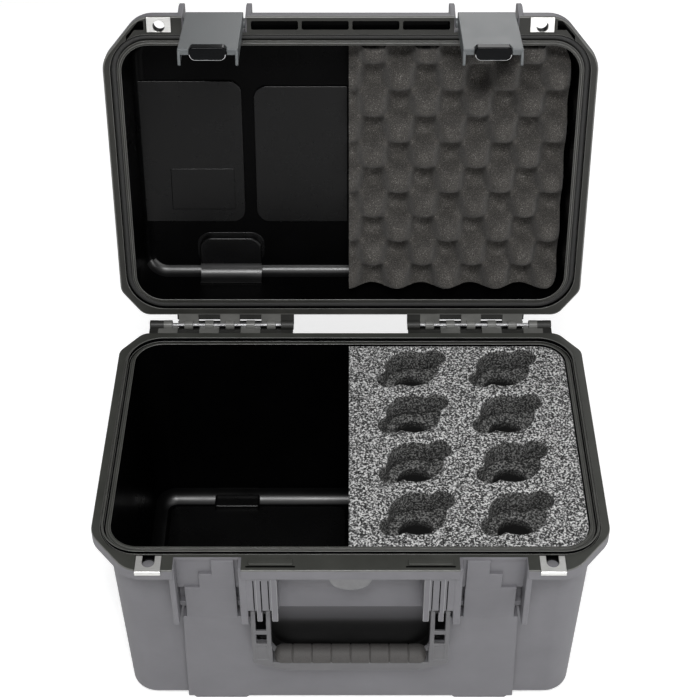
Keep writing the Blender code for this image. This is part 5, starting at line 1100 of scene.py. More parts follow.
def latch_turn(side):
    """A latch is drawn upright, then leans on its pin and opens with the lid."""
    pin = Vector((side * BAY_CENTRE, FRONT + PIVOT_INSET, LID_RIM + PIVOT_RISE))
    return (OPENED @ Matrix.Translation(pin) @ Matrix.Rotation(LATCH_LEAN, 4, "X")
            @ Matrix.Translation(-pin))


face = FRONT - LATCH_PROUD
inner = face + LATCH_PLATE
pin_y, pin_z = FRONT + PIVOT_INSET, LID_RIM + PIVOT_RISE
end = LID_RIM - LATCH_LENGTH
half = LATCH_WIDTH / 2
top = pin_z + LATCH_BARREL * 0.8
plate_outline = [(face, top - SHARE), (face, end), (inner, end), (inner, pin_z - 2 * LATCH_BARREL),
                 (pin_y - LATCH_BARREL / 2, pin_z - LATCH_BARREL * 0.7), (pin_y, pin_z),
                 (pin_y, top), (face + SHARE, top)]
hook_top = LID_RIM - HOOK_DROP
hook_end = hook_top - HOOK_HEIGHT
edge = face + LATCH_DEPTH
start = pin_z - LATCH_BARREL
cheek_outline = [(face + SHARE, start), (edge - 2 * LATCH_PLATE, start - SHARE),
                 (edge, start - 2 * LATCH_BARREL), (edge, hook_top), (edge + HOOK_NOSE, hook_top),
                 (edge + HOOK_NOSE, hook_end + HOOK_HEIGHT / 2), (edge + HOOK_NOSE / 2, hook_end),
                 (inner + LATCH_PLATE, hook_end), (face + SHARE, end + SHARE)]
trigger_y, trigger_z = face + TRIGGER_PIVOT_INSET, LID_RIM - TRIGGER_PIVOT_DROP
for side, word in ((-1, "left"), (1, "right")):
    x = side * BAY_CENTRE
    slot = TRIGGER_WIDTH / 2 + GAP
    notch = rounded(x - slot, x + slot, end - 3 * OVERRUN, LID_RIM - TRIGGER_TOP_DROP + 2 * GAP,
                    NOTCH_RADIUS)
    plate = cut(prism(plate_outline, x - half, x + half, "YZ"),
                [prism(notch, face - OVERRUN, inner + OVERRUN, "XZ")])
    parts = [edged(plate, 0.0009, 3)]
    reach = BAY_WIDTH / 2 - GAP
    barrel = rod(x - reach, x + reach, pin_y, pin_z, LATCH_BARREL)
    parts.append(edged(cut(barrel, [rod(x - half - OVERRUN, x + half + OVERRUN, pin_y, pin_z,
                                         LATCH_PIN_RADIUS + GAP)]), 0.0004))
    for near in (-half - GAP / 2, half - LATCH_CHEEK + GAP / 2):
        cheek = prism(cheek_outline, x + near, x + near + LATCH_CHEEK, "YZ")
        bore = rod(x + near - OVERRUN, x + near + LATCH_CHEEK + OVERRUN, trigger_y, trigger_z,
                   TRIGGER_PIN + GAP)
        parts.append(edged(cut(cheek, [bore]), 0.0005))
    for near, far in ((-half + SHARE, -slot - GAP), (slot + GAP, half - SHARE)):
        parts.append(edged(block((x + near, inner - SHARE, end + GAP),
                                  (x + far, face + LATCH_END_THICKNESS, end + LATCH_END_HEIGHT)),
                            0.0004))
    latch = put_on(gather("latch_plate_" + word, parts), "latch_" + word,
                   (latch_grey, latch_edge_highlight), latch_turn(side))
    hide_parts("latch_" + word)

# Release triggers: polished black caps in the free ends of the latches, each on a flat lever that
# turns on a pin, with a small torsion coil beside it that pushes it back.
TRIGGER_PROUD = 0.0025
TRIGGER_DEPTH = 0.0122
TRIGGER_FOOT_RADIUS, TRIGGER_HEAD_RADIUS = 0.0056, 0.0032
TRIGGER_END_DROP = 0.0792
LEVER_WIDTH = 0.022
LEVER_THICKNESS = 0.003
LEVER_RISE = 0.012
BOSS_RADIUS = 0.0028
WIRE_RADIUS = 0.0004
COIL_RADIUS = 0.0022
COIL_PITCH = 0.0011
COIL_LEG = 0.009
COIL_TURNS = 3
COIL_STEPS = 24

gloss = moulded("polished_black", (0.0012, 0.0014, 0.0018), (0.0022, 0.0026, 0.0032), 0.12, 0.012,
                0.0016, 0.00001, 0.10)
# Painted highlight: a pale copy of the polished black for the cap's rounded edges and back under
# faces.
gloss_highlight = moulded("polished_highlight", (0.50, 0.50, 0.51), (0.66, 0.66, 0.67), 0.20, 0.012,
                     0.0016, 0.00001, coat=0.3)

wire_tree, sizes, ends = start_tree("wire_on_path", {"Radius": 0.0, "Sides": 8, "Finish": ""})
path = node(wire_tree, "GeometryNodeMeshToCurve", Mesh=sizes["Mesh"]).outputs["Curve"]
ring = node(wire_tree, "GeometryNodeCurvePrimitiveCircle", Resolution=sizes["Sides"],
            Radius=sizes["Radius"]).outputs["Curve"]
wire = node(wire_tree, "GeometryNodeCurveToMesh", Curve=path, Profile_Curve=ring, Fill_Caps=True)
end_tree(wire_tree, ends, wire.outputs["Mesh"], sizes["Finish"])


def wire_along(name, points, radius, sides, finish):
    """A round wire or bead that follows a line of points."""
    form = bmesh.new()
    line = [form.verts.new(point) for point in points]
    for here, after in zip(line, line[1:]):
        form.edges.new((here, after))
    return grow(new_piece(name, form), wire_tree,
                {"Radius": radius, "Sides": sides, "Finish": finish})


front = face - TRIGGER_PROUD
top, end = LID_RIM - TRIGGER_TOP_DROP, LID_RIM - TRIGGER_END_DROP
for side, word in ((-1, "left"), (1, "right")):
    x = side * BAY_CENTRE
    low, high = x - TRIGGER_WIDTH / 2, x + TRIGGER_WIDTH / 2
    rear = front + TRIGGER_DEPTH
    cap = prism(fillet((low, front), (0, -1), (1, 0), TRIGGER_HEAD_RADIUS, 8)
                + fillet((high, front), (1, 0), (0, 1), TRIGGER_HEAD_RADIUS, 8)
                + fillet((high, rear), (0, 1), (-1, 0), TRIGGER_FOOT_RADIUS, 10)
                + fillet((low, rear), (-1, 0), (0, -1), TRIGGER_FOOT_RADIUS, 10), end, top)
    lever_front = trigger_y - LEVER_THICKNESS / 2
    lever = block((x - LEVER_WIDTH / 2, lever_front, top - SHARE),
                  (x + LEVER_WIDTH / 2, lever_front + LEVER_THICKNESS, trigger_z + LEVER_RISE))
    boss = rod(x - LEVER_WIDTH / 2 + SHARE, x + LEVER_WIDTH / 2 - SHARE, trigger_y, trigger_z,
               BOSS_RADIUS)
    parts = [edged(cap, 0.0012, 4), soften(lever, 0.0005, 2), soften(boss, 0.0003, 2)]
    # The cap's rounded edges and its under faces at the back take the pale finish: painted
    # highlight.
    for face in parts[0].data.polygons:
        behind = face.center.y > front + TRIGGER_DEPTH / 2
        face.material_index = 1 if behind and -0.95 < face.normal.z < -0.2 else 0
    trigger = put_on(gather("release_trigger_" + word, parts), "trigger_" + word,
                     (gloss, gloss_highlight), latch_turn(side))
    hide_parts("trigger_" + word)
    near = x + side * (LEVER_WIDTH / 2 + SHARE)
    path = [(near, trigger_y - COIL_RADIUS, trigger_z + COIL_LEG)]
    for step in range(COIL_STEPS * COIL_TURNS + 1):
        angle = 2 * math.pi * step / COIL_STEPS
        path.append((near + side * COIL_PITCH * step / COIL_STEPS,
                     trigger_y - COIL_RADIUS * math.cos(angle),
                     trigger_z - COIL_RADIUS * math.sin(angle)))
    path.append((path[-1][0], path[-1][1], path[-1][2] - COIL_LEG))
    coil = wire_along("trigger_coil_" + word, path, WIRE_RADIUS, 10, drawn)
    put_on(coil, "latch_" + word, (drawn,), latch_turn(side), 60, False)
    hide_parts("trigger_spring_" + word)

# Drop handle: a moulded nylon frame whose four slotted arms hang on two pins, with cut lower
# corners and two rungs in each arm. It swings up against the lugs.
HANDLE_OUTER_PRONG = 0.084
HANDLE_INNER_PRONG = 0.0704
PRONG_WIDTH = 0.0043
PRONG_DEPTH = 0.0085
EYE_RADIUS = 0.0058
EYE_SHOULDER = 0.014
HANDLE_FRONT = 0.0005
BAR_DEPTH = 0.0142
HANDLE_BOTTOM_DROP = 0.140
BAND = 0.011
HANDLE_HALF = 0.0883
HANDLE_CORNER_X = 0.028
HANDLE_CORNER_Z = 0.012
TONGUE_WIDTH = 0.004
TONGUE_RISE = 0.006
GRIP_HALF = 0.0685
RUNG_DEPTH = 0.0030
FIRST_RUNG, FIRST_RUNG_HEIGHT = 0.0838, 0.0050
SECOND_RUNG, SECOND_RUNG_HEIGHT = 0.102, 0.0036

handle_grey = moulded("handle_grey", (0.094, 0.093, 0.098), (0.118, 0.117, 0.122), 0.42, 0.025,
                      0.0006, 0.00003)
# Painted highlight: a pale copy of the handle grey for its rounded edges.
handle_edge_highlight = moulded("handle_edge_highlight", (0.42, 0.42, 0.425), (0.54, 0.54, 0.545), 0.32, 0.015,
                      0.0006, 0.00002)
front = FRONT + HANDLE_FRONT
back = front + BAR_DEPTH
bottom = RIM - HANDLE_BOTTOM_DROP
band_top = bottom + BAND
half = HANDLE_HALF
outline = [(-half + HANDLE_CORNER_X, bottom), (half - HANDLE_CORNER_X, bottom),
           (half - SHARE, bottom + HANDLE_CORNER_Z - OVERRUN), (half, bottom + HANDLE_CORNER_Z),
           (half, band_top + BAND / 2), (HANDLE_INNER_PRONG, band_top + BAND / 2),
           (HANDLE_INNER_PRONG, band_top), (-HANDLE_INNER_PRONG, band_top),
           (-HANDLE_INNER_PRONG, band_top + BAND / 2), (-half, band_top + BAND / 2),
           (-half, bottom + HANDLE_CORNER_Z), (-half + SHARE, bottom + HANDLE_CORNER_Z - OVERRUN)]
parts = [edged(prism(outline, front, back, "XZ"), 0.0011, 3)]
eye = []
for step in range(17):
    angle = math.pi * step / 16
    eye.append((pivot_y + EYE_RADIUS * math.cos(angle), pivot_z + EYE_RADIUS * math.sin(angle)))
prong_back = front + PRONG_DEPTH
prong_end = band_top + BAND / 4
prong = eye + [(pivot_y - EYE_RADIUS, pivot_z - EYE_RADIUS / 2),
               (front + SHARE / 4, pivot_z - EYE_SHOULDER), (front + SHARE / 4, prong_end),
               (prong_back, prong_end), (prong_back, pivot_z - EYE_SHOULDER),
               (pivot_y + EYE_RADIUS, pivot_z - EYE_RADIUS / 2)]
for side in (1, -1):
    for near in (HANDLE_OUTER_PRONG, HANDLE_INNER_PRONG + SHARE / 4):
        low, high = both_sides(near, near + PRONG_WIDTH - SHARE / 4, side)
        bore = rod(low - OVERRUN, high + OVERRUN, pivot_y, pivot_z, HANDLE_PIN_RADIUS + GAP)
        parts.append(edged(cut(prism(prong, low, high, "YZ"), [bore]), 0.0006))
    low, high = both_sides(HANDLE_INNER_PRONG + SHARE, half - SHARE, side)
    for drop, height in ((FIRST_RUNG, FIRST_RUNG_HEIGHT), (SECOND_RUNG, SECOND_RUNG_HEIGHT)):
        parts.append(edged(block((low, front + SHARE / 2, RIM - drop - height),
                                  (high, front + RUNG_DEPTH, RIM - drop)), 0.0005))
    low, high = both_sides(HANDLE_INNER_PRONG - SHARE / 4, half - SHARE, side)
    parts.append(edged(block((low, front + SHARE / 2, band_top - SHARE),
                              (high, front + RUNG_DEPTH,
                               RIM - SECOND_RUNG - SECOND_RUNG_HEIGHT - GAP)), 0.0005))
middle = front + BAR_DEPTH / 2
reach = GRIP_HALF - TONGUE_WIDTH
parts.append(block((-reach, middle - TONGUE_WIDTH / 2, band_top - SHARE),
                   (reach, middle + TONGUE_WIDTH / 2, band_top + TONGUE_RISE)))
handle = put_on(gather("drop_handle", parts), "handle", (handle_grey, handle_edge_highlight))
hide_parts("handle_frame")

# Grip: a soft rubber sleeve moulded round the handle's bar, D-shaped in section, with a row of
# shallow grooves round it for the fingers.
GRIP_RADIUS = 0.0093
GRIP_CENTRE_DROP = 0.1275
GRIP_END_RADIUS = 0.0055
GROOVES = 7
GROOVE_PITCH = 0.0175
GROOVE_WIDTH = 0.0018
GROOVE_DEEP = 0.0009

grip_rubber, tree, shader, place = new_finish("grip_rubber")
skin_noise = speckle(tree, place, 1100.0, 3.0)
tree.links.new(ramp(tree, skin_noise, ((0.3, (0.036, 0.034, 0.033)),
                                       (0.75, (0.070, 0.066, 0.063)))),
               shader.inputs["Base Color"])
tree.links.new(span(tree, skin_noise, 0.3, 0.7, 0.55, 0.78), shader.inputs["Roughness"])
pebbled(tree, shader, skin_noise, 0.00008, 0.8)
bottom = RIM - HANDLE_BOTTOM_DROP + BAND + GAP
centre = RIM - GRIP_CENTRE_DROP
slot = TONGUE_WIDTH / 2 + GAP
stations = [(-GRIP_HALF, GRIP_END_RADIUS),
            (-GRIP_HALF + GRIP_END_RADIUS * 0.3, GRIP_END_RADIUS * 0.3),
            (-GRIP_HALF + GRIP_END_RADIUS, 0)]
for index in range(GROOVES):
    at = (index - (GROOVES - 1) / 2) * GROOVE_PITCH
    for step in range(9):
        turn = step / 8 * 2 - 1
        stations.append((at + turn * GROOVE_WIDTH / 2 * 1.3,
                         GROOVE_DEEP * (1 + math.cos(math.pi * turn)) / 2))
stations += [(-x, inset) for x, inset in reversed(stations[:3])]
loops = []
for x, inset in stations:
    radius = GRIP_RADIUS - inset
    loop = [(x, middle + slot, bottom), (x, pivot_y + radius, bottom)]
    for step in range(25):
        angle = math.pi * step / 24
        loop.append((x, pivot_y + radius * math.cos(angle), centre + radius * math.sin(angle)))
    loops.append(loop + [(x, pivot_y - radius, bottom), (x, middle - slot, bottom),
                         (x, middle - slot, bottom + TONGUE_RISE),
                         (x, middle + slot, bottom + TONGUE_RISE)])
grip = put_on(loft(loops, name="grip_sleeve"), "handle", (grip_rubber,), None, 50)
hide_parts("handle_grip")

# Badge place: a small half-round plate that hangs under the front flange, on a backing moulded
# with the base. It is finished in satin and left bare.
BADGE_HALF = 0.018
BADGE_HEIGHT = 0.014
BADGE_THICKNESS = 0.0016
BACKING_INSET = 0.0028

badge_satin = moulded("badge_satin", (0.125, 0.125, 0.128), (0.165, 0.165, 0.168), 0.34, 0.010,
                      0.0005, 0.00002)
badge_top = RIM - SKIRT_HEIGHT - GAP
outline = [(BADGE_HALF * math.cos(math.pi + math.pi * step / 48),
            badge_top + BADGE_HEIGHT * math.sin(math.pi + math.pi * step / 48))
           for step in range(49)]
badge_back = FRONT + SKIRT_THICKNESS - SHARE / 2 - GAP
badge = edged(prism(outline, badge_back - BADGE_THICKNESS, badge_back, "XZ"), 0.0004)
badge.name = "badge_plate"
put_on(badge, "base", (badge_satin, outer_edge_highlight))
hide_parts("badge_blank")
backing = block((-BADGE_HALF + BACKING_INSET, badge_back + GAP, RIM - SKIRT_HEIGHT - BADGE_HEIGHT
                 + BACKING_INSET), (BADGE_HALF - BACKING_INSET, badge_back + GAP + 0.003,
                                    RIM - LAND_THICKNESS / 2))
backing.name = "badge_backing"
put_on(soften(backing), "base", (outer_grey,))

# Egg-crate foam: a slab of open-cell polyurethane cut by a wavy wire into rows of rounded peaks,
# pressed into the right half of the lid with its peaks towards the base.
CRATE_PITCH_X = 0.049
CRATE_PITCH_Y = 0.052
CRATE_PEAK_X = 0.046
CRATE_PEAK_Y = BACK - 0.1905
CRATE_LENGTH = 0.2055
CRATE_FRONT = FRONT + 0.0335
CRATE_BACK = BACK - 0.0235
CRATE_BACKING = 0.015
CRATE_PEAK_DROP = 0.0045
CRATE_CORNER = 0.0195
CRATE_SQUARENESS = 2.1
CRATE_COLUMNS, CRATE_ROWS = 150, 180
CRATE_CELL_DEPTH, CRATE_CELL = 0.0010, 0.0032


def sum_of(tree, operation, first, second):
    made = tree.nodes.new("ShaderNodeMath")
    made.operation = operation
    for socket, value in zip(made.inputs, (first, second)):
        if isinstance(value, bpy.types.NodeSocket):
            tree.links.new(value, socket)
        elif value is not None:
            socket.default_value = value
    return made.outputs["Value"]


crate_foam, tree, shader, place = new_finish("egg_crate_foam")
tone = speckle(tree, place, 70.0, 4.0, 0.7)
cells = speckle(tree, place, 1150.0, 2.0, 0.6)
height = node(tree, "ShaderNodeAttribute", {"attribute_name": "wave_height"}).outputs["Fac"]
# Where the wave is low the tone is lifted: painted light in the valleys between the peaks.
valley_light = span(tree, height, -0.9, 0.5, 0.20, 0.0)
tone = sum_of(tree, "ADD", tone, valley_light)
body_tone = ramp(tree, tone, ((0.3, (0.044, 0.041, 0.038)), (0.7, (0.062, 0.058, 0.053)),
                              (1.05, (0.110, 0.104, 0.097))))
speck = ramp(tree, cells, ((0.36, (0.45, 0.45, 0.45)), (0.46, (1.0, 1.0, 1.0)),
                           (0.60, (1.15, 1.15, 1.15)), (0.68, (3.6, 3.7, 3.8))))
both = node(tree, "ShaderNodeMix", {"data_type": "RGBA", "blend_type": "MULTIPLY"})
both.inputs["Factor"].default_value = 1.0
tree.links.new(body_tone, both.inputs[6])
tree.links.new(speck, both.inputs[7])
tree.links.new(both.outputs[2], shader.inputs["Base Color"])
tune(shader, Roughness=0.95, Specular_IOR_Level=0.2, Sheen_Weight=0.08)
pebbled(tree, shader, cells, 0.0005, 1.0)

wave_tree, sizes, ends = start_tree("wire_cut_waves", {
    "Pitch X": 0.0, "Pitch Y": 0.0, "Peak X": 0.0, "Peak Y": 0.0, "Swing": 0.0, "Squareness": 0.0,
    "Finish": ""})
place_now = node(wave_tree, "ShaderNodeSeparateXYZ",
                 Vector=node(wave_tree, "GeometryNodeInputPosition").outputs["Position"])

waves = []
for axis in ("X", "Y"):
    run = sum_of(wave_tree, "SUBTRACT", place_now.outputs[axis], sizes["Peak " + axis])
    turn = sum_of(wave_tree, "MULTIPLY", sum_of(wave_tree, "DIVIDE", run, sizes["Pitch " + axis]),
                  2 * math.pi)
    waves.append(sum_of(wave_tree, "COSINE", turn, None))
steep = sum_of(wave_tree, "MULTIPLY", sum_of(wave_tree, "MULTIPLY", *waves), sizes["Squareness"])
full = sum_of(wave_tree, "TANH", sizes["Squareness"], None)
level = sum_of(wave_tree, "DIVIDE", sum_of(wave_tree, "TANH", steep, None), full)
wave = sum_of(wave_tree, "MULTIPLY", level, sizes["Swing"])
mask = node(wave_tree, "GeometryNodeInputNamedAttribute", {"data_type": "FLOAT"}, Name="cut_face")
drop = sum_of(wave_tree, "MULTIPLY", sum_of(wave_tree, "MULTIPLY", wave, -1.0),
              mask.outputs["Attribute"])
kept = node(wave_tree, "GeometryNodeStoreNamedAttribute", {"data_type": "FLOAT", "domain": "POINT"},
            Geometry=sizes["Mesh"], Name="wave_height", Value=level).outputs["Geometry"]
moved = node(wave_tree, "GeometryNodeSetPosition", Geometry=kept,
             Offset=node(wave_tree, "ShaderNodeCombineXYZ", Z=drop).outputs["Vector"])
end_tree(wave_tree, ends, moved.outputs["Geometry"], sizes["Finish"])

cell_tree, sizes, ends = start_tree("open_cells", {
    "Depth": 0.0, "Cell": 0.0, "Seed": 0.0, "Finish": ""})
noise = node(cell_tree, "ShaderNodeTexNoise", {"noise_dimensions": "4D"},
             Vector=node(cell_tree, "GeometryNodeInputPosition").outputs["Position"],
             Scale=sum_of(cell_tree, "DIVIDE", 1.0, sizes["Cell"]), Detail=3.0, Roughness=0.7,
             W=sizes["Seed"]).outputs["Fac"]
push = sum_of(cell_tree, "MULTIPLY", sum_of(cell_tree, "SUBTRACT", noise, 0.5), sizes["Depth"])
outwards = node(cell_tree, "ShaderNodeVectorMath", {"operation": "SCALE"},
                Vector=node(cell_tree, "GeometryNodeInputNormal").outputs["Normal"], Scale=push)
moved = node(cell_tree, "GeometryNodeSetPosition", Geometry=sizes["Mesh"],
             Offset=outwards.outputs["Vector"])
end_tree(cell_tree, ends, moved.outputs["Geometry"], sizes["Finish"])

ceiling = lid_ceiling - GAP
root = ceiling - CRATE_BACKING
shoulder = ceiling - LID_CEILING_RADIUS
peak = LID_RIM + CRATE_PEAK_DROP
left, right = FOAM_INNER_END, FOAM_INNER_END + CRATE_LENGTH
form = bmesh.new()
cut_face = form.verts.layers.float.new("cut_face")
field, roof = [], {}
for row in range(CRATE_ROWS + 1):
    y = CRATE_FRONT + (CRATE_BACK - CRATE_FRONT) * row / CRATE_ROWS
    line = []
    for column in range(CRATE_COLUMNS + 1):
        x = left + CRATE_LENGTH * column / CRATE_COLUMNS
        corner_x = max(0, x - right + CRATE_CORNER)
        corner_y = max(0, CRATE_CORNER - min(y - CRATE_FRONT, CRATE_BACK - y))
        over = math.hypot(corner_x, corner_y)
        y_here = y
        if corner_x > 0 and corner_y > 0 and over > 0:
            reach = max(corner_x, corner_y) / over
            x = right - CRATE_CORNER + corner_x * reach
            rim_y = CRATE_CORNER - corner_y * reach
            y_here = CRATE_FRONT + rim_y if y - CRATE_FRONT < CRATE_BACK - y else CRATE_BACK - rim_y
        point = form.verts.new((x, y_here, (root + peak) / 2))
        point[cut_face] = 1.0
        line.append(point)
        if row in (0, CRATE_ROWS) or column in (0, CRATE_COLUMNS):
            share = 1 - LID_CEILING_RADIUS / CRATE_LENGTH * 2
            centre_y = (OPENING_FRONT + OPENING_BACK) / 2
            roof[row, column] = (form.verts.new((x, y_here, shoulder)),
                                 form.verts.new((left + (x - left) * share,
                                                 centre_y + (y_here - centre_y) * share, ceiling)))
    field.append(line)
for row in range(CRATE_ROWS):
    for column in range(CRATE_COLUMNS):
        form.faces.new((field[row][column], field[row][column + 1], field[row + 1][column + 1],
                        field[row + 1][column]))
edge_run = ([(0, column) for column in range(CRATE_COLUMNS)]
            + [(row, CRATE_COLUMNS) for row in range(CRATE_ROWS)]
            + [(CRATE_ROWS, column) for column in range(CRATE_COLUMNS, 0, -1)]
            + [(row, 0) for row in range(CRATE_ROWS, 0, -1)])
for here, after in zip(edge_run, edge_run[1:] + edge_run[:1]):
    form.faces.new((field[here[0]][here[1]], field[after[0]][after[1]], roof[after][0],
                    roof[here][0]))
    form.faces.new((roof[here][0], roof[after][0], roof[after][1], roof[here][1]))
form.faces.new([roof[place][1] for place in edge_run])
crate = grow(new_piece("egg_crate", form), wave_tree, {
    "Pitch X": CRATE_PITCH_X, "Pitch Y": CRATE_PITCH_Y, "Peak X": CRATE_PEAK_X,
    "Peak Y": CRATE_PEAK_Y, "Swing": (root - peak) / 2, "Squareness": CRATE_SQUARENESS,
    "Finish": crate_foam})
grow(crate, cell_tree, {"Depth": CRATE_CELL_DEPTH, "Cell": CRATE_CELL, "Seed": 3.0,
                        "Finish": crate_foam})
put_on(crate, "lid", (crate_foam,), OPENED, 75, False)
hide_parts("egg_crate_foam")

# Microphone foam: a pierced top layer with eight round seats, each with two finger notches, on a
# deep core with a narrower hole under each seat. Both are cut from open-cell foam with pale flecks.
FOAM_CLEARANCE = 0.0009
FOAM_TOP_DROP = 0.001
FOAM_LAYER = 0.026
SEAT_RADIUS = 0.0255
FINGER_RADIUS = 0.0118
FINGER_X, FINGER_Y = 0.022, 0.0155
MIC_RADIUS = 0.016
MIC_DROP = 0.115
FIRST_COLUMN, COLUMN_PITCH = 0.0592, 0.0885
FIRST_ROW, ROW_PITCH = -0.0855, 0.063
# Painted shade: depths over which the seat walls darken and the holes in the core fall to black.
CORE_SHADE_START, CORE_SHADE_END = 0.001, 0.010
WALL_SHADE_START, WALL_SHADE_END = 0.0010, 0.0030
FOAM_VOXEL = 0.0015
FOAM_CELL_DEPTH, FOAM_CELL = 0.0009, 0.0028

block_foam, tree, shader, place = new_finish("flecked_foam")
fleck = speckle(tree, place, 560.0, 2.5, 0.62)
surface = ramp(tree, fleck, ((0.40, (0.006, 0.006, 0.006)), (0.48, (0.085, 0.085, 0.085)),
                             (0.54, (0.26, 0.26, 0.26)), (0.61, (0.66, 0.66, 0.655))))
# Below the top face the seat walls take a darker ramp, and deeper in the core they fall to black:
# painted shade in the seats and holes.
shaded_wall = ramp(tree, fleck, ((0.40, (0.006, 0.006, 0.006)), (0.50, (0.045, 0.045, 0.044)),
                              (0.62, (0.24, 0.24, 0.235))))
height = node(tree, "ShaderNodeSeparateXYZ", Vector=place).outputs["Z"]
depth = node(tree, "ShaderNodeMix", {"data_type": "RGBA"}, Factor=span(
    tree, height, RIM - FOAM_TOP_DROP - FOAM_LAYER - CORE_SHADE_END,
    RIM - FOAM_TOP_DROP - FOAM_LAYER - CORE_SHADE_START, 0.0, 1.0))
depth.inputs[6].default_value = (0.004, 0.004, 0.004, 1.0)
tree.links.new(shaded_wall, depth.inputs[7])
shaded_wall = depth.outputs[2]
skin = node(tree, "ShaderNodeMix", {"data_type": "RGBA"}, Factor=span(
    tree, height, RIM - FOAM_TOP_DROP - WALL_SHADE_END, RIM - FOAM_TOP_DROP - WALL_SHADE_START, 0.0, 1.0))
tree.links.new(shaded_wall, skin.inputs[6])
tree.links.new(surface, skin.inputs[7])
tree.links.new(skin.outputs[2], shader.inputs["Base Color"])
tune(shader, Roughness=0.92)
pebbled(tree, shader, fleck, 0.0008, 1.0)

seat_tree, sizes, ends = start_tree("seats_in_a_grid", {
    "Column Pitch": 0.0, "Row Length": 0.0, "Centre": (0, 0, 0), "Finish": ""})
grid = node(seat_tree, "GeometryNodeMeshGrid", Size_X=sizes["Column Pitch"],
            Size_Y=sizes["Row Length"], Vertices_X=2, Vertices_Y=4).outputs["Mesh"]
places = node(seat_tree, "GeometryNodeTransform", Geometry=grid,
              Translation=sizes["Centre"]).outputs["Geometry"]
seats = node(seat_tree, "GeometryNodeInstanceOnPoints", Points=places, Instance=sizes["Mesh"])
end_tree(seat_tree, ends, seats.outputs["Instances"], sizes["Finish"])


def foam_outline(z, extra=0.0):
    """The foam block's outline at a height, a little inside the drafted walls."""
    share = (RIM - z) / BASE_HEIGHT
    inset = FOAM_CLEARANCE + extra
    right = OPENING_LENGTH / 2 - inset - BASE_END_DRAFT * share
    front = OPENING_FRONT + inset + BASE_FRONT_DRAFT * share
    back = OPENING_BACK - inset - BASE_FRONT_DRAFT * share
    return (fillet((right, front), (1, 0), (0, 1), OPENING_RADIUS - inset, 2 * CORNER_STEPS)
            + fillet((right, back), (0, 1), (-1, 0), OPENING_RADIUS - inset, 2 * CORNER_STEPS)
            + [(FOAM_INNER_END, back), (FOAM_INNER_END, front)])


def seat_outline():
    """A round seat about its own middle, with two finger notches at opposite corners."""
    outline = []
    for step in range(120):
        angle = 2 * math.pi * (step + 0.5) / 120
        ray = Vector((math.cos(angle), math.sin(angle)))
        reach = SEAT_RADIUS
        for way in (1, -1):
            notch = Vector((FINGER_X, FINGER_Y)) * way
            along = ray.dot(notch)
            rest = along ** 2 - notch.length_squared + FINGER_RADIUS ** 2
            if along > 0 and rest > 0:
                reach = max(reach, along + math.sqrt(rest))
        outline.append((ray.x * reach, ray.y * reach))
    return outline


def pierced(block_of_foam, hole):
    """Eight like holes cut through a block, then its surface opened into cells."""
    centre = (FIRST_COLUMN + COLUMN_PITCH / 2, FIRST_ROW + ROW_PITCH * 1.5, 0.0)
    holes = grow(hole, seat_tree, {"Column Pitch": COLUMN_PITCH, "Row Length": ROW_PITCH * 3,
                                   "Centre": centre, "Finish": block_foam})
    cut(block_of_foam, [holes])
    step = block_of_foam.modifiers.new("cells", "REMESH")
    step.mode = "VOXEL"
    step.voxel_size = FOAM_VOXEL
    settle_mesh(block_of_foam)
    return grow(block_of_foam, cell_tree, {"Depth": FOAM_CELL_DEPTH, "Cell": FOAM_CELL, "Seed": 7.0,
                                           "Finish": block_foam})


top = RIM - FOAM_TOP_DROP
split = top - FOAM_LAYER
floor = FOOT_HEIGHT + WALL + GAP
upper = loft([at_height(foam_outline(z), z) for z in (split, top)], name="mic_foam_top")
core = loft([at_height(foam_outline(floor, BASE_FLOOR_RADIUS), floor),
             at_height(foam_outline(floor + BASE_FLOOR_RADIUS), floor + BASE_FLOOR_RADIUS),
             at_height(foam_outline(split - GAP), split - GAP)], name="mic_foam_core")
for foam, hole, replaced in (
        (upper, prism(seat_outline(), split - OVERRUN, top + OVERRUN), "mic_foam_upper"),
        (core, prism(circle((0, 0), MIC_RADIUS, 64), RIM - MIC_DROP, split + OVERRUN),
         "mic_foam_lower")):
    put_on(pierced(foam, hole), "base", (block_foam,), None, 75, False)
    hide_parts(replaced)

# Plain pale floor, soft studio light from above, both sides and behind, and the camera where the
# picture was taken from.
FLOOR_HALF = 6

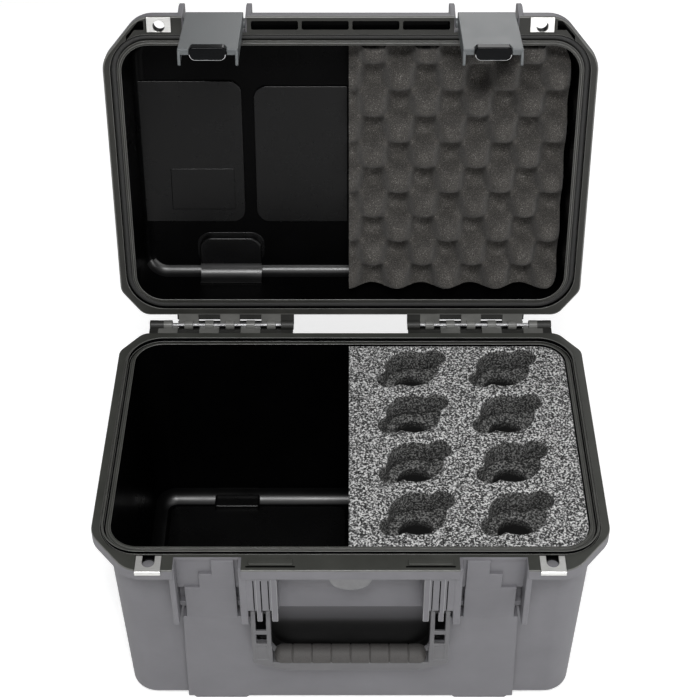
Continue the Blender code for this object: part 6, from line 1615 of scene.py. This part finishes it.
floor_look, tree, shader, place = new_finish("floor_paper")
tune(shader, Base_Color=(0.86, 0.86, 0.86, 1.0), Roughness=0.9, Specular_IOR_Level=0.1)
paper = speckle(tree, place, 300.0, 3.0)
pebbled(tree, shader, paper, 0.00005, 1.0)
seen = node(tree, "ShaderNodeLightPath").outputs["Is Camera Ray"]
glow = node(tree, "ShaderNodeEmission", Color=(1.0, 1.0, 1.0, 1.0),
            Strength=sum_of(tree, "MULTIPLY", seen, 0.42))
both = node(tree, "ShaderNodeAddShader")
tree.links.new(shader.outputs["BSDF"], both.inputs[0])
tree.links.new(glow.outputs["Emission"], both.inputs[1])
tree.links.new(both.outputs["Shader"], tree.nodes["Material Output"].inputs["Surface"])
form = bmesh.new()
form.faces.new([form.verts.new((x * FLOOR_HALF, y * FLOOR_HALF, 0))
                for x, y in ((-1, -1), (1, -1), (1, 1), (-1, 1))])
ground = new_piece("floor", form)
finished(ground, floor_look)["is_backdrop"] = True

world = bpy.data.worlds.new("studio")
bpy.context.scene.world = world
world.use_nodes = True
tree = world.node_tree
sky = tree.nodes["Background"]
sky.inputs["Color"].default_value = (1.0, 1.0, 1.0, 1.0)
direct = node(tree, "ShaderNodeLightPath").outputs["Is Camera Ray"]
tree.links.new(span(tree, direct, 0.0, 1.0, 0.22, 1.0), sky.inputs["Strength"])


def softbox(name, place, aim, width, height, power):
    """A rectangular studio lamp aimed at a point."""
    lamp = bpy.data.lights.new(name, "AREA")
    lamp.shape = "RECTANGLE"
    lamp.size, lamp.size_y, lamp.energy = width, height, power
    made = bpy.data.objects.new(name, lamp)
    bpy.context.scene.collection.objects.link(made)
    made.location = place
    made.rotation_euler = (Vector(aim) - Vector(place)).to_track_quat("-Z", "Y").to_euler()


softbox("key", (-0.1, -1.4, 2.25), (0, 0, 0.25), 0.9, 0.45, 38.0)
softbox("overhead", (0.2, 0.1, 2.2), (0, 0.05, 0.2), 1.2, 1.0, 5.0)
softbox("low_front", (0.5, -2.2, 0.7), (0, 0, 0.15), 1.4, 0.8, 12.0)
softbox("right_strip", (1.7, -0.5, 0.7), (0.1, 0, 0.2), 0.35, 1.3, 9.0)
softbox("left_strip", (-1.8, -0.4, 0.8), (-0.1, 0, 0.2), 0.45, 1.3, 5.0)
softbox("behind", (0.4, 2.4, 1.4), (0, 0.2, 0.3), 1.4, 1.0, 12.0)

eye = bpy.data.cameras.new("camera")
eye.lens = 81.44
eye.sensor_width = 36.0
eye.shift_x = -0.0007
camera = bpy.data.objects.new("camera", eye)
camera.location = (0.0, -1.0296, 1.2598)
camera.rotation_euler = (math.radians(90 - 41.96), 0.0, 0.0)
bpy.context.scene.collection.objects.link(camera)
bpy.context.scene.camera = camera
bpy.context.scene.view_settings.view_transform = "Standard"

sizes = {"cad": [list(corner) for corner in cad_box],
         "visual": [list(corner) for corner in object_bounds()]}
